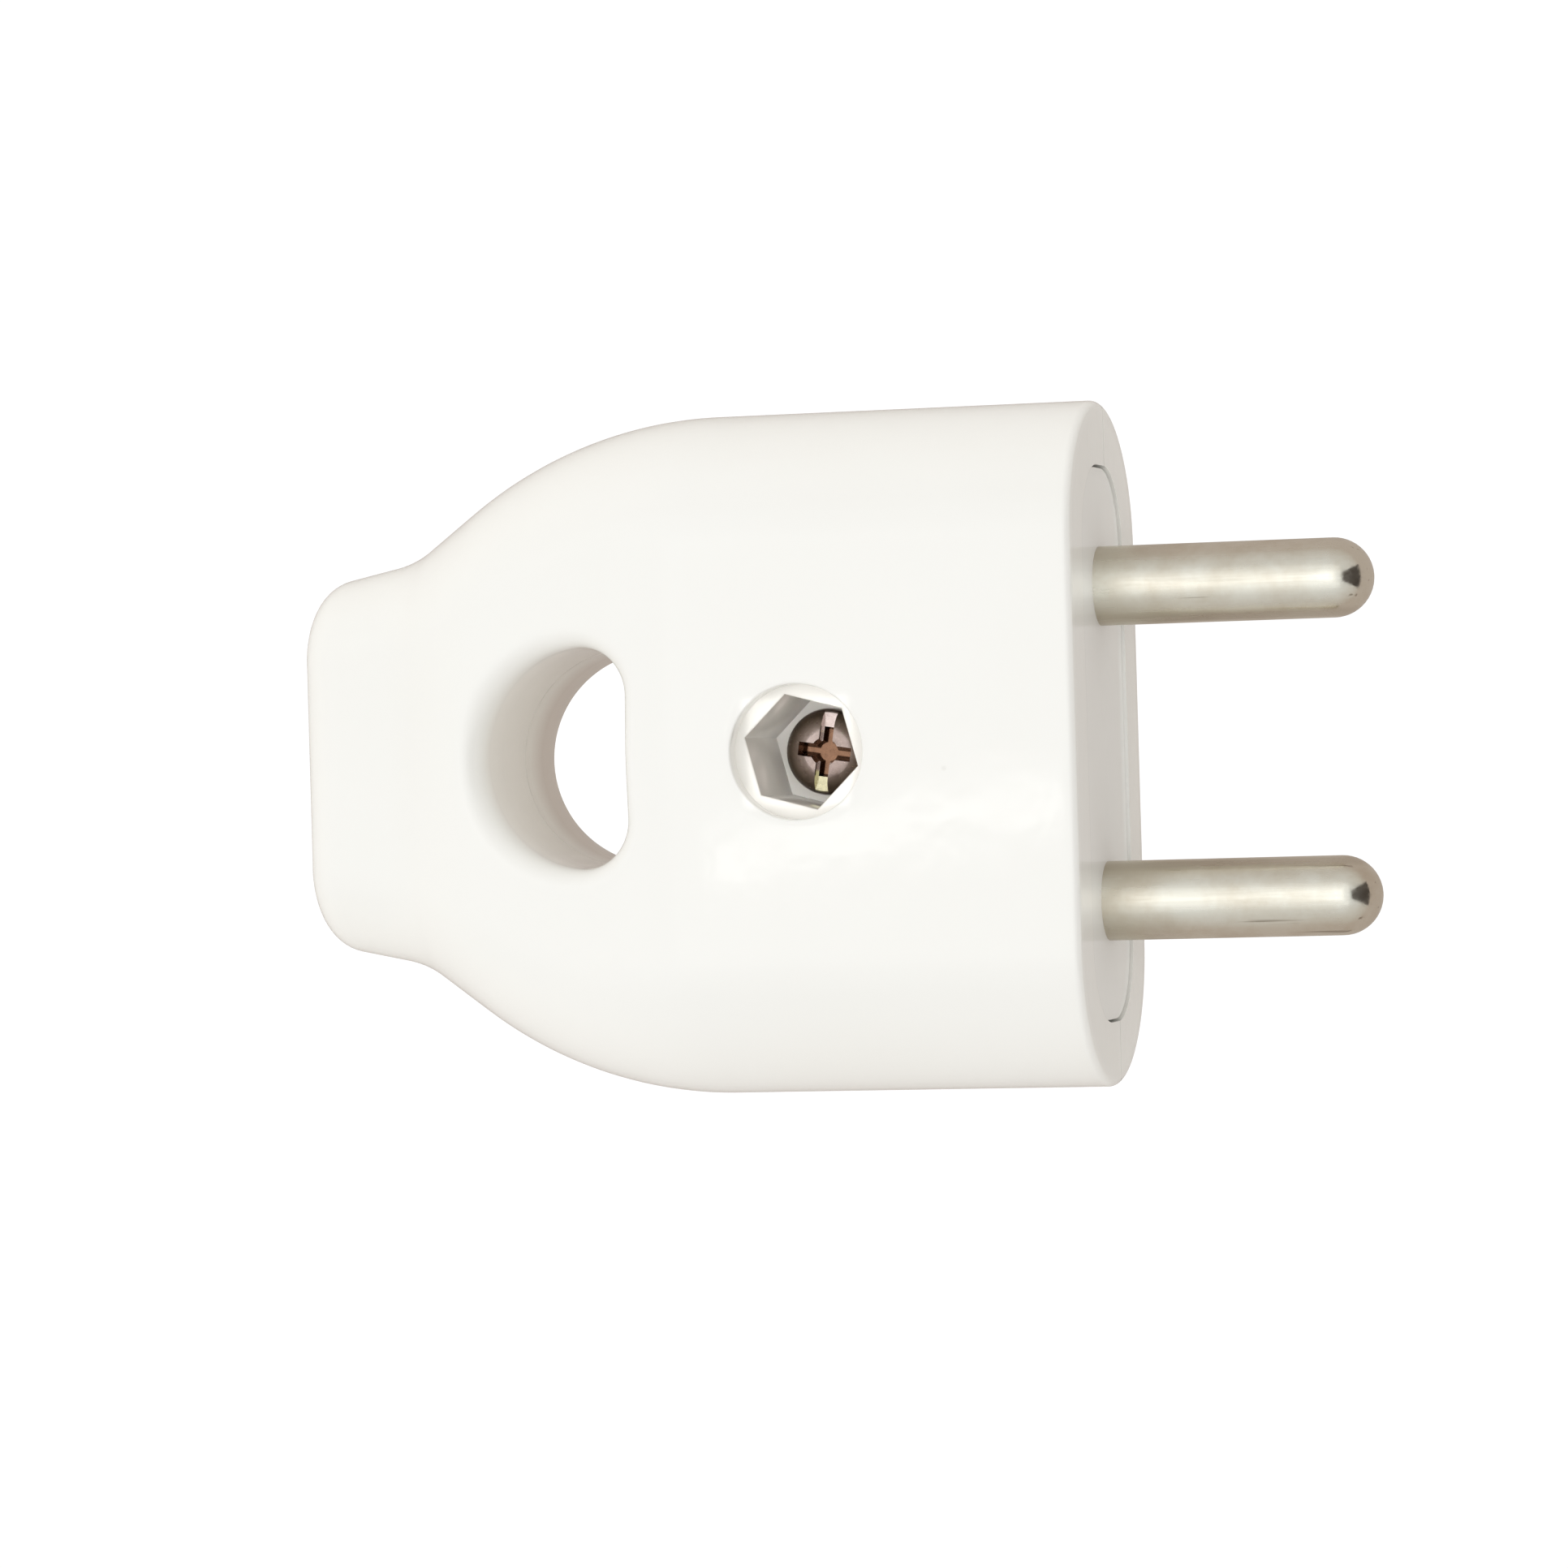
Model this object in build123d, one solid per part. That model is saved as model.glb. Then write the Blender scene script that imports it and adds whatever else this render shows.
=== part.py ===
from build123d import *
import os

# Two-pin plug with a finger hole, in millimetres. X runs out along the pins, Y across them and Z out
# of the broad face that takes the housing screw. The origin is the middle of the pin face.

# Body, from the pin face at X = 0 back to the tail end
BODY_LENGTH = 49.4
BODY_WIDTH = 41.4
BODY_THICKNESS = 19.8
FLANK_SHARE = 0.86
RIM_RADIUS = 0.45
WALL = 2.0

# Corners of the body's outlines, counted forward from the tail end, and the radii that round them
TAIL_LENGTH = 6.4
TAIL_WIDTH = 22.3
TAIL_THICKNESS = 12.0
TAIL_RADIUS = 2.5
NECK_WIDTH = 25.0
NECK_THICKNESS = 12.9
NECK_RADIUS = 6.7
SHOULDER_LENGTH = 11.1
SHOULDER_RADIUS = 25.5
BROW_LENGTH = 4.2
BROW_THICKNESS = 16.6
BROW_RADIUS = 10.0
CROWN_LENGTH = 12.0
CROWN_RADIUS = 60.0
STATION_PITCH = 1.1
LEAD_LENGTH = 3.0

# The halves meet on a plane behind the pin axes, with a tongue in a groove
PARTING_DEPTH = 1.2
TONGUE_INSET = 0.65
TONGUE_WIDTH = 0.7
TONGUE_HEIGHT = 0.8
TONGUE_START = 14.0

# Finger hole: round on the tail side, flat on the pin side
HOLE_TO_TAIL = 19.0
HOLE_RADIUS = 6.7
HOLE_FLAT = 2.7
HOLE_CORNER = 3.0
HOLE_RIM = 1.3
SLEEVE_WALL = 1.6

# Clearances, and the distance within which an edge counts as lying on a surface
SLIP = 0.1
PIN_SLIP = 0.05
FLANGE_SLIP = 0.15
NEAR = 0.05

# Pins
PIN_PITCH = 19.0
PIN_RADIUS = 2.4
PIN_LENGTH = 16.45
WAIST_RADIUS = 2.1
COLLAR_RADIUS = 3.4
COLLAR_LENGTH = 2.0
BARREL_RADIUS = 3.0
BARREL_LENGTH = 14.0
BARREL_EDGE = 0.3
WIRE_RADIUS = 1.5
WIRE_DEPTH = 9.0

# Pin carrier: a plate set back a little in the pin face, with a flange behind the shells' lip
PLATE_WIDTH = 33.3
PLATE_HEIGHT = 12.0
PLATE_CORNER = 5.0
PLATE_GAP = 0.15
PLATE_SET_BACK = 0.2
LIP_DEPTH = 3.0
FLANGE_DEPTH = 2.5
BULKHEAD = 2.0

# Housing screw and nut, in pockets on one boss
SCREW_TO_FACE = 16.95
BOSS_RADIUS = 5.0
RECESS_RADIUS = 4.05
RECESS_DEPTH = 1.3
POCKET_FLATS = 6.2
POCKET_TURN = 44.8
POCKET_FLOOR = 1.0
BOSS_FLOOR = 2.2
SCREW_RADIUS = 1.5
SCREW_HEAD_RADIUS = 2.65
SCREW_HEAD_HEIGHT = 1.9
SCREW_HEAD_EDGE = 1.4
SCREW_END = 0.6
SCREW_END_EDGE = 0.3
CROSS_SPAN = 3.3
CROSS_WIDTH = 0.85
CROSS_CORE = 0.85
CROSS_DEPTH = 1.3
CROSS_TAPER = 12.0
SLOT_WIDTH = 0.8
SLOT_DEPTH = 0.6
SLOT_TURN = 81.0
NUT_FLATS = 5.5
NUT_HEIGHT = 2.4

# Terminal screw, across the barrel of each pin
TERMINAL_TO_COLLAR = 9.0
TERMINAL_RADIUS = 1.4
TERMINAL_REACH = 2.8
TERMINAL_SEAT = 2.4
TERMINAL_HEAD_RADIUS = 2.2
TERMINAL_HEAD_HEIGHT = 1.6

# Cord inlet, and the saddle that grips the cord behind it
CORD_RADIUS = 2.8
INLET_SLIP = 0.4
INLET_EDGE = 0.5
SADDLE_TO_TAIL = 5.5
SADDLE_LENGTH = 5.0
SADDLE_THICKNESS = 1.1
CLAMP_PITCH = 13.4
CLAMP_RADIUS = 1.3
CLAMP_HEAD_RADIUS = 2.2
CLAMP_HEAD_HEIGHT = 1.5
CLAMP_REACH = 3.6
CLAMP_BOSS_RADIUS = 2.1
CRADLE_RIB = 1.2

# Places worked out from the sizes above
PARTING_Z = -PARTING_DEPTH
TAIL_X = -BODY_LENGTH
NECK_X = TAIL_X + TAIL_LENGTH
BROW_X = NECK_X + BROW_LENGTH
HOLE_X = TAIL_X + HOLE_TO_TAIL
SCREW_X = -SCREW_TO_FACE
PIN_Y = PIN_PITCH / 2
CLAMP_Y = CLAMP_PITCH / 2
SADDLE_X = TAIL_X + SADDLE_TO_TAIL
PLATE_X = -PLATE_SET_BACK
FLANGE_X = -LIP_DEPTH - FLANGE_DEPTH
COLLAR_X = FLANGE_X + COLLAR_LENGTH
BARREL_X = FLANGE_X - BARREL_LENGTH
TERMINAL_X = FLANGE_X - TERMINAL_TO_COLLAR
REAR_FLOOR = PARTING_Z - BOSS_FLOOR
INLET_RADIUS = CORD_RADIUS + INLET_SLIP
BEYOND = BODY_THICKNESS


def half_outline(corners, radii):
    """Area between the X axis and a line through the corners, rounded by the radii."""
    line = FilletPolyline(*corners, radius=radii)
    base = Polyline(line @ 1, ((line @ 1).X, 0), ((line @ 0).X, 0), line @ 0)
    return make_face(line + base)


def past_tail(neck, tail):
    """Point on the tail's edge, carried on past its end."""
    run = Vector(*tail) - Vector(*neck)
    return tuple(Vector(*tail) + run)[:2]


def plan_outline():
    """Half width of the body along X, run on past both ends."""
    shoulder = (NECK_X + SHOULDER_LENGTH, BODY_WIDTH / 2)
    neck = (NECK_X, NECK_WIDTH / 2)
    end = past_tail(neck, (TAIL_X, TAIL_WIDTH / 2))
    corners = [(BODY_LENGTH, BODY_WIDTH / 2), shoulder, neck, end]
    return half_outline(corners, [SHOULDER_RADIUS, NECK_RADIUS])


def side_outline():
    """Half thickness of the body along X, run on past both ends."""
    crown = (BROW_X + CROWN_LENGTH, BODY_THICKNESS / 2)
    brow = (BROW_X, BROW_THICKNESS / 2)
    neck = (NECK_X, NECK_THICKNESS / 2)
    end = past_tail(neck, (TAIL_X, TAIL_THICKNESS / 2))
    corners = [(BODY_LENGTH, BODY_THICKNESS / 2), crown, brow, neck, end]
    return half_outline(corners, [CROWN_RADIUS, BROW_RADIUS, NECK_RADIUS])


def oval(half_width, half_thickness):
    """Flat-sided oval whose two flanks are half ellipses."""
    flank = FLANK_SHARE * half_thickness
    flat = half_width - flank
    right = EllipticalCenterArc((flat, 0), flank, half_thickness, -90, arc_size=180)
    left = EllipticalCenterArc((-flat, 0), flank, half_thickness, 90, arc_size=180)
    return make_face(right + Line(right @ 1, left @ 0) + left + Line(left @ 1, right @ 0))


class Form:
    """The body's form: its oval section at any place along X, drawn in by a wall where asked."""

    def __init__(self):
        self.plan = plan_outline()
        self.side = side_outline()
        self.straight = -min(self.first_run(self.plan), self.first_run(self.side))

    def first_run(self, outline):
        """Length of an outline behind the pin face before it starts to bend."""
        top = outline.edges().sort_by(Axis.Y)[-1]
        return -top.bounding_box().min.X

    def reach(self, outline, x):
        """Half size of an outline at x."""
        return (Line((x, 0), (x, BODY_WIDTH)) & outline).length

    def section(self, x, inset=0.0):
        """Oval section at x."""
        face = oval(self.reach(self.plan, x) - inset, self.reach(self.side, x) - inset)
        return Plane.YZ.offset(x) * face

    def solid(self, start, end, inset=0.0):
        """Body from start back to end: a straight prism, then a loft of sections."""
        turn = self.straight + LEAD_LENGTH
        prism = extrude(self.section(start, inset), amount=turn - start)
        count = round((turn - end) / STATION_PITCH)
        stations = [turn + (end - turn) * i / count for i in range(count + 1)]
        return prism + loft([self.section(x, inset) for x in stations])


def cylinder_x(radius, start, end, y=0.0):
    """Round bar along X from start to end."""
    return Pos(start, y, 0) * extrude(Plane.YZ * Circle(radius), amount=end - start)


def cylinder_z(radius, low, high, x=0.0, y=0.0):
    """Round bar along Z from low to high."""
    return Pos(x, y, low) * extrude(Circle(radius), amount=high - low)


def hexagon_z(flats, low, high, x):
    """Hexagon bar along Z, turned as the pockets are."""
    face = Rot(0, 0, POCKET_TURN) * RegularPolygon(flats / 2, 6, major_radius=False)
    return Pos(x, 0, low) * extrude(face, amount=high - low)


def span(x, y, z):
    """Box between the low and high ends given for each axis."""
    sizes = [high - low for low, high in (x, y, z)]
    middle = [(high + low) / 2 for low, high in (x, y, z)]
    return Pos(*middle) * Box(*sizes)


def trough_x(radius, start, end, y=0.0):
    """Cut for a round bar along X that drops straight in through the parting plane."""
    legs = span((end, start), (y - radius, y + radius), (PARTING_Z, 0))
    return cylinder_x(radius, start, end, y) + legs


def finger_outline(grow=0.0):
    """Outline of the finger hole, or of its sleeve when grown."""
    radius = HOLE_RADIUS + grow
    right = HOLE_FLAT + grow
    keep = Pos(right - radius, 0) * Rectangle(2 * radius, 2 * radius)
    shape = Circle(radius) & keep
    return Pos(HOLE_X, 0) * fillet(shape.vertices(), HOLE_CORNER + grow)


def finger_prism(grow=0.0):
    """Finger hole's outline carried right through the body."""
    return extrude(finger_outline(grow), amount=BODY_THICKNESS, both=True)


def plate_prism(grow, start, end):
    """Carrier's plate outline between two places along X."""
    width = PLATE_WIDTH + 2 * grow
    height = PLATE_HEIGHT + 2 * grow
    face = RectangleRounded(width, height, PLATE_CORNER + grow)
    return Pos(start, 0, 0) * extrude(Plane.YZ * face, amount=end - start)


def at_x(shape, x):
    """Edges of a shape that lie in the plane at x."""
    return shape.edges().filter_by_position(Axis.X, x - NEAR, x + NEAR)


def outer_form(form):
    """Body's outside as one solid, with its rims rounded and its finger hole cut."""
    body = form.solid(0, TAIL_X)
    body = fillet(at_x(body, TAIL_X), TAIL_RADIUS)
    body = fillet(at_x(body, 0), RIM_RADIUS)
    body = body - finger_prism()
    wall = finger_outline().edges()
    level = body.edges().filter_by(Axis.Z, reverse=True)
    return fillet([e for e in level if on_wall(e, wall)], HOLE_RIM)


def on_wall(edge, wall):
    """True where an edge runs down or round the finger hole's wall."""
    middle = edge @ 0.5
    flat = Vertex(middle.X, middle.Y, 0)
    return min(flat.distance(e) for e in wall) < NEAR


def cradle_ribs(floor):
    """Two ribs across the cord, under the saddle's two edges."""
    half = SADDLE_LENGTH / 2
    ribs = []
    for edge in (SADDLE_X - half, SADDLE_X + half - CRADLE_RIB):
        ribs.append(span((edge, edge + CRADLE_RIB), (-CLAMP_Y, CLAMP_Y), (floor, PARTING_Z)))
    return ribs


def pin_rest(y, floor):
    """Rib under a pin's barrel that takes the push of its terminal screw."""
    half = BULKHEAD / 2
    return span(
        (TERMINAL_X - half, TERMINAL_X + half),
        (y - BARREL_RADIUS, y + BARREL_RADIUS),
        (floor, PARTING_Z),
    )


def inner_void(form):
    """Space inside the body, around everything that is moulded into the two halves."""
    floor = -BODY_THICKNESS / 2
    void = form.solid(-LIP_DEPTH, TAIL_X + WALL, WALL)
    void -= finger_prism(SLEEVE_WALL)
    void -= cylinder_z(BOSS_RADIUS, floor, -floor, SCREW_X)
    void -= span((FLANGE_X - BULKHEAD, FLANGE_X), (-BODY_WIDTH, BODY_WIDTH), (-BEYOND, BEYOND))
    for side in (-1, 1):
        void -= cylinder_z(CLAMP_BOSS_RADIUS, floor, PARTING_Z, SADDLE_X, side * CLAMP_Y)
        void -= pin_rest(side * PIN_Y, floor)
    for rib in cradle_ribs(floor):
        void -= rib
    return void


def housing_cuts():
    """Holes that pass through the halves' walls, ribs and bosses."""
    top = BODY_THICKNESS / 2
    cuts = [plate_prism(PLATE_GAP, -LIP_DEPTH - SLIP, BEYOND)]
    for side in (-1, 1):
        cuts.append(trough_x(BARREL_RADIUS + SLIP, FLANGE_X, BARREL_X, side * PIN_Y))
        cuts.append(cylinder_z(CLAMP_RADIUS, PARTING_Z - CLAMP_REACH, PARTING_Z, SADDLE_X, side * CLAMP_Y))
    cuts.append(cylinder_z(RECESS_RADIUS, top - RECESS_DEPTH, BEYOND, SCREW_X))
    cuts.append(hexagon_z(POCKET_FLATS, POCKET_FLOOR, BEYOND, SCREW_X))
    cuts.append(hexagon_z(NUT_FLATS + 2 * SLIP, -BEYOND, REAR_FLOOR, SCREW_X))
    cuts.append(cylinder_z(SCREW_RADIUS + SLIP, REAR_FLOOR, POCKET_FLOOR, SCREW_X))
    cuts.append(trough_x(INLET_RADIUS, TAIL_X + WALL + SLIP, TAIL_X - SLIP))
    half = SADDLE_LENGTH / 2
    cuts.append(trough_x(CORD_RADIUS, SADDLE_X + half, SADDLE_X - half))
    return cuts


def tongue(form, grow):
    """Ring that stands on the parting plane inside the wall, open at the pins and at the cord inlet."""
    half = form.plan & span((TAIL_X, 0), (0, BODY_WIDTH), (-WALL, WALL))
    outline = half + mirror(half, Plane.XZ)
    outline = fillet(outline.vertices().group_by(Axis.X)[0], TAIL_RADIUS)
    ring = offset(outline, -TONGUE_INSET + grow)
    ring -= offset(outline, -TONGUE_INSET - TONGUE_WIDTH - grow)
    ring -= span((-TONGUE_START + grow, BEYOND), (-BODY_WIDTH, BODY_WIDTH), (-WALL, WALL))
    mouth = INLET_RADIUS + WALL - grow
    ring -= span((TAIL_X, TAIL_X + 2 * WALL), (-mouth, mouth), (-WALL, WALL))
    return Pos(0, 0, PARTING_Z) * extrude(ring, amount=TONGUE_HEIGHT + grow)


def on_inlet(edge):
    """True for an edge of the cord inlet, false for the parting line and the tail's own outline."""
    middle = edge @ 0.5
    reach = max(abs(middle.Y), abs(middle.Z))
    return reach < INLET_RADIUS + NEAR and abs(middle.Z - PARTING_Z) > NEAR


def round_inlet(half):
    """One half of the housing with the edge of its cord inlet rounded."""
    return fillet([e for e in at_x(half, TAIL_X) if on_inlet(e)], INLET_EDGE)


def shells(form):
    """Front and rear halves of the housing."""
    body = outer_form(form) - inner_void(form)
    for cut in housing_cuts():
        body -= cut
    plane = Plane.XY.offset(PARTING_Z)
    front = split(body, bisect_by=plane, keep=Keep.TOP)
    rear = split(body, bisect_by=plane, keep=Keep.BOTTOM)
    front = round_inlet(front) - tongue(form, SLIP)
    rear = round_inlet(rear) + tongue(form, 0)
    return front, rear


def pin_carrier(form):
    """Plate moulded round the waists of both pins, with its flange and the seats for their collars."""
    plate = plate_prism(0, -LIP_DEPTH, PLATE_X)
    flange = extrude(form.section(-LIP_DEPTH, WALL + FLANGE_SLIP), amount=-FLANGE_DEPTH)
    carrier = plate + flange
    for side in (-1, 1):
        carrier -= cylinder_x(WAIST_RADIUS + PIN_SLIP, FLANGE_X, PLATE_X, side * PIN_Y)
        carrier -= cylinder_x(COLLAR_RADIUS + SLIP, FLANGE_X, COLLAR_X, side * PIN_Y)
    return carrier


def pin(y):
    """Turned pin: domed tip, shank, waist in the carrier, collar and a bored barrel for the conductor."""
    dome = PIN_LENGTH - PIN_RADIUS
    edge = Polyline(
        (BARREL_X, 0),
        (BARREL_X, BARREL_RADIUS - BARREL_EDGE),
        (BARREL_X + BARREL_EDGE, BARREL_RADIUS),
        (FLANGE_X, BARREL_RADIUS),
        (FLANGE_X, COLLAR_RADIUS),
        (COLLAR_X, COLLAR_RADIUS),
        (COLLAR_X, WAIST_RADIUS),
        (PLATE_X, WAIST_RADIUS),
        (PLATE_X, PIN_RADIUS),
        (dome, PIN_RADIUS),
    )
    tip = CenterArc((dome, 0), PIN_RADIUS, 90, -90)
    profile = make_face(edge + tip + Line(tip @ 1, edge @ 0))
    bar = revolve(profile, Axis.X)
    bar -= cylinder_x(WIRE_RADIUS, BARREL_X, BARREL_X + WIRE_DEPTH)
    tip_z = TERMINAL_SEAT - TERMINAL_REACH
    bar -= cylinder_z(TERMINAL_RADIUS + PIN_SLIP, tip_z - PIN_SLIP, BARREL_RADIUS, TERMINAL_X)
    bar -= cylinder_z(TERMINAL_HEAD_RADIUS + SLIP, TERMINAL_SEAT, BARREL_RADIUS + SLIP, TERMINAL_X)
    return Pos(0, y, 0) * bar


def cheese_screw(radius, reach, head_radius, head_height):
    """Slotted screw that stands on the origin with its shank downwards."""
    screw = cylinder_z(radius, -reach, 0) + cylinder_z(head_radius, 0, head_height)
    slot = span(
        (-head_radius, head_radius),
        (-SLOT_WIDTH / 2, SLOT_WIDTH / 2),
        (head_height - SLOT_DEPTH, head_height),
    )
    return screw - slot


def housing_screw():
    """Domed screw with a cross recess and a slot across its head."""
    top = POCKET_FLOOR + SCREW_HEAD_HEIGHT
    end = REAR_FLOOR - NUT_HEIGHT - SCREW_END
    head = cylinder_z(SCREW_HEAD_RADIUS, POCKET_FLOOR, top)
    head = fillet(head.edges().group_by(Axis.Z)[-1], SCREW_HEAD_EDGE)
    shank = cylinder_z(SCREW_RADIUS, end, POCKET_FLOOR)
    shank = chamfer(shank.edges().group_by(Axis.Z)[0], SCREW_END_EDGE)
    arm = Rectangle(CROSS_SPAN, CROSS_WIDTH)
    star = arm + Rot(0, 0, 90) * arm + Circle(CROSS_CORE)
    cross = Pos(0, 0, top) * extrude(star, amount=-CROSS_DEPTH, taper=CROSS_TAPER)
    slot = Pos(0, 0, top) * extrude(Rectangle(2 * SCREW_HEAD_RADIUS, SLOT_WIDTH), amount=-SLOT_DEPTH)
    drive = Rot(0, 0, SLOT_TURN) * (cross + slot)
    return Pos(SCREW_X, 0, 0) * (head + shank - drive)


def housing_nut():
    """Hexagon nut in the rear pocket."""
    low = REAR_FLOOR - NUT_HEIGHT
    nut = hexagon_z(NUT_FLATS, low, REAR_FLOOR, SCREW_X)
    return nut - cylinder_z(SCREW_RADIUS + PIN_SLIP, low, REAR_FLOOR, SCREW_X)


def cord_saddle():
    """Bent strap: two feet on the clamp bosses and an arch over the cord."""
    outer = CORD_RADIUS + SADDLE_THICKNESS
    foot_end = CLAMP_Y + CLAMP_BOSS_RADIUS
    arch = Circle(outer) & Pos(0, outer) * Rectangle(2 * outer, 2 * outer)
    legs = Pos(0, PARTING_Z / 2) * Rectangle(2 * outer, PARTING_DEPTH)
    feet = Pos(0, PARTING_Z + SADDLE_THICKNESS / 2) * Rectangle(2 * foot_end, SADDLE_THICKNESS)
    hollow = Circle(CORD_RADIUS) + Pos(0, -CORD_RADIUS) * Rectangle(2 * CORD_RADIUS, 2 * CORD_RADIUS)
    face = arch + legs + feet - hollow
    start = SADDLE_X - SADDLE_LENGTH / 2
    strap = Pos(start, 0, 0) * extrude(Plane.YZ * face, amount=SADDLE_LENGTH)
    for side in (-1, 1):
        strap -= cylinder_z(CLAMP_RADIUS + SLIP, PARTING_Z, 0, SADDLE_X, side * CLAMP_Y)
    return strap


def pieces():
    """Every piece of the plug by name."""
    form = Form()
    front, rear = shells(form)
    made = {
        "front_shell": front,
        "rear_shell": rear,
        "pin_carrier": pin_carrier(form),
        "housing_screw": housing_screw(),
        "housing_nut": housing_nut(),
        "cord_saddle": cord_saddle(),
    }
    foot = PARTING_Z + SADDLE_THICKNESS
    for name, side in (("left", 1), ("right", -1)):
        terminal = cheese_screw(TERMINAL_RADIUS, TERMINAL_REACH, TERMINAL_HEAD_RADIUS, TERMINAL_HEAD_HEIGHT)
        clamp = cheese_screw(CLAMP_RADIUS, CLAMP_REACH, CLAMP_HEAD_RADIUS, CLAMP_HEAD_HEIGHT)
        made[f"{name}_pin"] = pin(side * PIN_Y)
        made[f"{name}_terminal_screw"] = Pos(TERMINAL_X, side * PIN_Y, TERMINAL_SEAT) * terminal
        made[f"{name}_clamp_screw"] = Pos(SADDLE_X, side * CLAMP_Y, foot) * clamp
    return made


os.makedirs("parts", exist_ok=True)
for node, piece in pieces().items():
    export_step(piece, f"parts/{node}.step")
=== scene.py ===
import logging
import math
from dataclasses import dataclass, field
from enum import Enum, member
from functools import partial, reduce

import bmesh
import bpy
import numpy as np
from mathutils import Matrix, Vector


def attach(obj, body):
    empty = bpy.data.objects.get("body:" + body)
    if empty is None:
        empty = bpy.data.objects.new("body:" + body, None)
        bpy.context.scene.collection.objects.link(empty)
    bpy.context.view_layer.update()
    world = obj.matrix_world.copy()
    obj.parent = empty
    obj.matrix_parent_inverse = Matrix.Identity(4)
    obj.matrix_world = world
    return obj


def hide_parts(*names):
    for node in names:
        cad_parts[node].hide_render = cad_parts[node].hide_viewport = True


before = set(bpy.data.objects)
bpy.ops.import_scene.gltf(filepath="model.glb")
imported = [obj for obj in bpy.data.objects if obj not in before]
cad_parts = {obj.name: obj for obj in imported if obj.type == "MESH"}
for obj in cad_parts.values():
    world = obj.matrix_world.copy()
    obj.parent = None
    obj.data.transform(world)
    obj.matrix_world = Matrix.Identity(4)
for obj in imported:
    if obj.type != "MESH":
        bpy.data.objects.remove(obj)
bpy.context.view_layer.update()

BODY = "root"
MM = 0.001
TINY = 1e-9
SIXTH = math.pi / 3
LOG = logging.getLogger("plug")

Array = np.ndarray
Shader = bpy.types.ShaderNodeTree
Node = bpy.types.Node
Outputs = bpy.types.NodeOutputs
Socket = bpy.types.NodeSocket
Pair = tuple[float, float]
Triple = tuple[float, float, float]
Span = tuple[int, int]
Given = Socket | float | tuple

RISING: Pair = (0.0, 1.0)
FALLING: Pair = (1.0, 0.0)


class Half(Enum):
    """The two halves of the housing, by the way that their broad faces look along Z."""

    FRONT = 1
    REAR = -1


def lerp(start: Array, end: Array, shares: Array) -> Array:
    """Rows of points between two rows: start plus each share of the way to end."""
    return start + shares[:, None, None] * (end - start)


def arc_shares(steps: int) -> tuple[Array, Array]:
    """Sines, rising from 0 to 1, and cosines of the angles that divide a quarter turn evenly."""
    angle = np.linspace(0.0, math.pi / 2, steps + 1)
    return np.sin(angle), np.cos(angle)


def places(x: Array | float, y: Array | float, z: Array | float) -> Array:
    """Points with these coordinates, each given for every point or once for all of them."""
    return np.stack(np.broadcast_arrays(x, y, z), axis=-1)


def add_object(name: str, data: bpy.types.ID) -> bpy.types.Object:
    """Puts a new object into the scene.

    Args:
        name: Name of the object.
        data: Its mesh, light or camera.

    Returns:
        The new object, at the origin.
    """
    made = bpy.data.objects.new(name, data)
    bpy.context.scene.collection.objects.link(made)
    return made


def stance(place: Vector, right: Vector, up: Vector, ahead: Vector) -> Matrix:
    """World matrix of a camera or a lamp that stands at a place in millimetres and looks ahead."""
    turn = Matrix((right, up, -ahead)).transposed().to_4x4()
    return Matrix.Translation(place * MM) @ turn


@dataclass(frozen=True)
class RoundedLine:
    """A line through corners along X, each inner corner rounded by an arc that touches its legs."""

    corners: tuple[Pair, ...]
    radii: tuple[float, ...]

    def height(self, x: Array) -> Array:
        """Height of the line at x.

        The legs give the height by straight interpolation. Between the two points where an arc
        touches its legs, the height is the arc's: its centre's height, less or plus the root of
        the radius squared minus the square of the distance along X from the centre.

        Args:
            x: Places along X, in millimetres.

        Returns:
            Heights of the same shape as x.
        """
        points = np.array(self.corners)
        height = np.interp(x, points[:, 0], points[:, 1])
        for radius, before, corner, after in zip(self.radii, points, points[1:], points[2:]):
            into = (corner - before) / np.linalg.norm(corner - before)
            out = (after - corner) / np.linalg.norm(after - corner)
            bend = np.sign(into[0] * out[1] - into[1] * out[0])
            leg = radius * math.tan(math.acos(float(into @ out)) / 2)
            touch = corner - leg * into
            centre = touch + bend * radius * np.array([-into[1], into[0]])
            inside = (x > touch[0]) & (x < (corner + leg * out)[0])
            root = np.sqrt(np.clip(radius**2 - (x - centre[0]) ** 2, 0.0, None))
            height = np.where(inside, centre[1] - bend * root, height)
        return height


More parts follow.
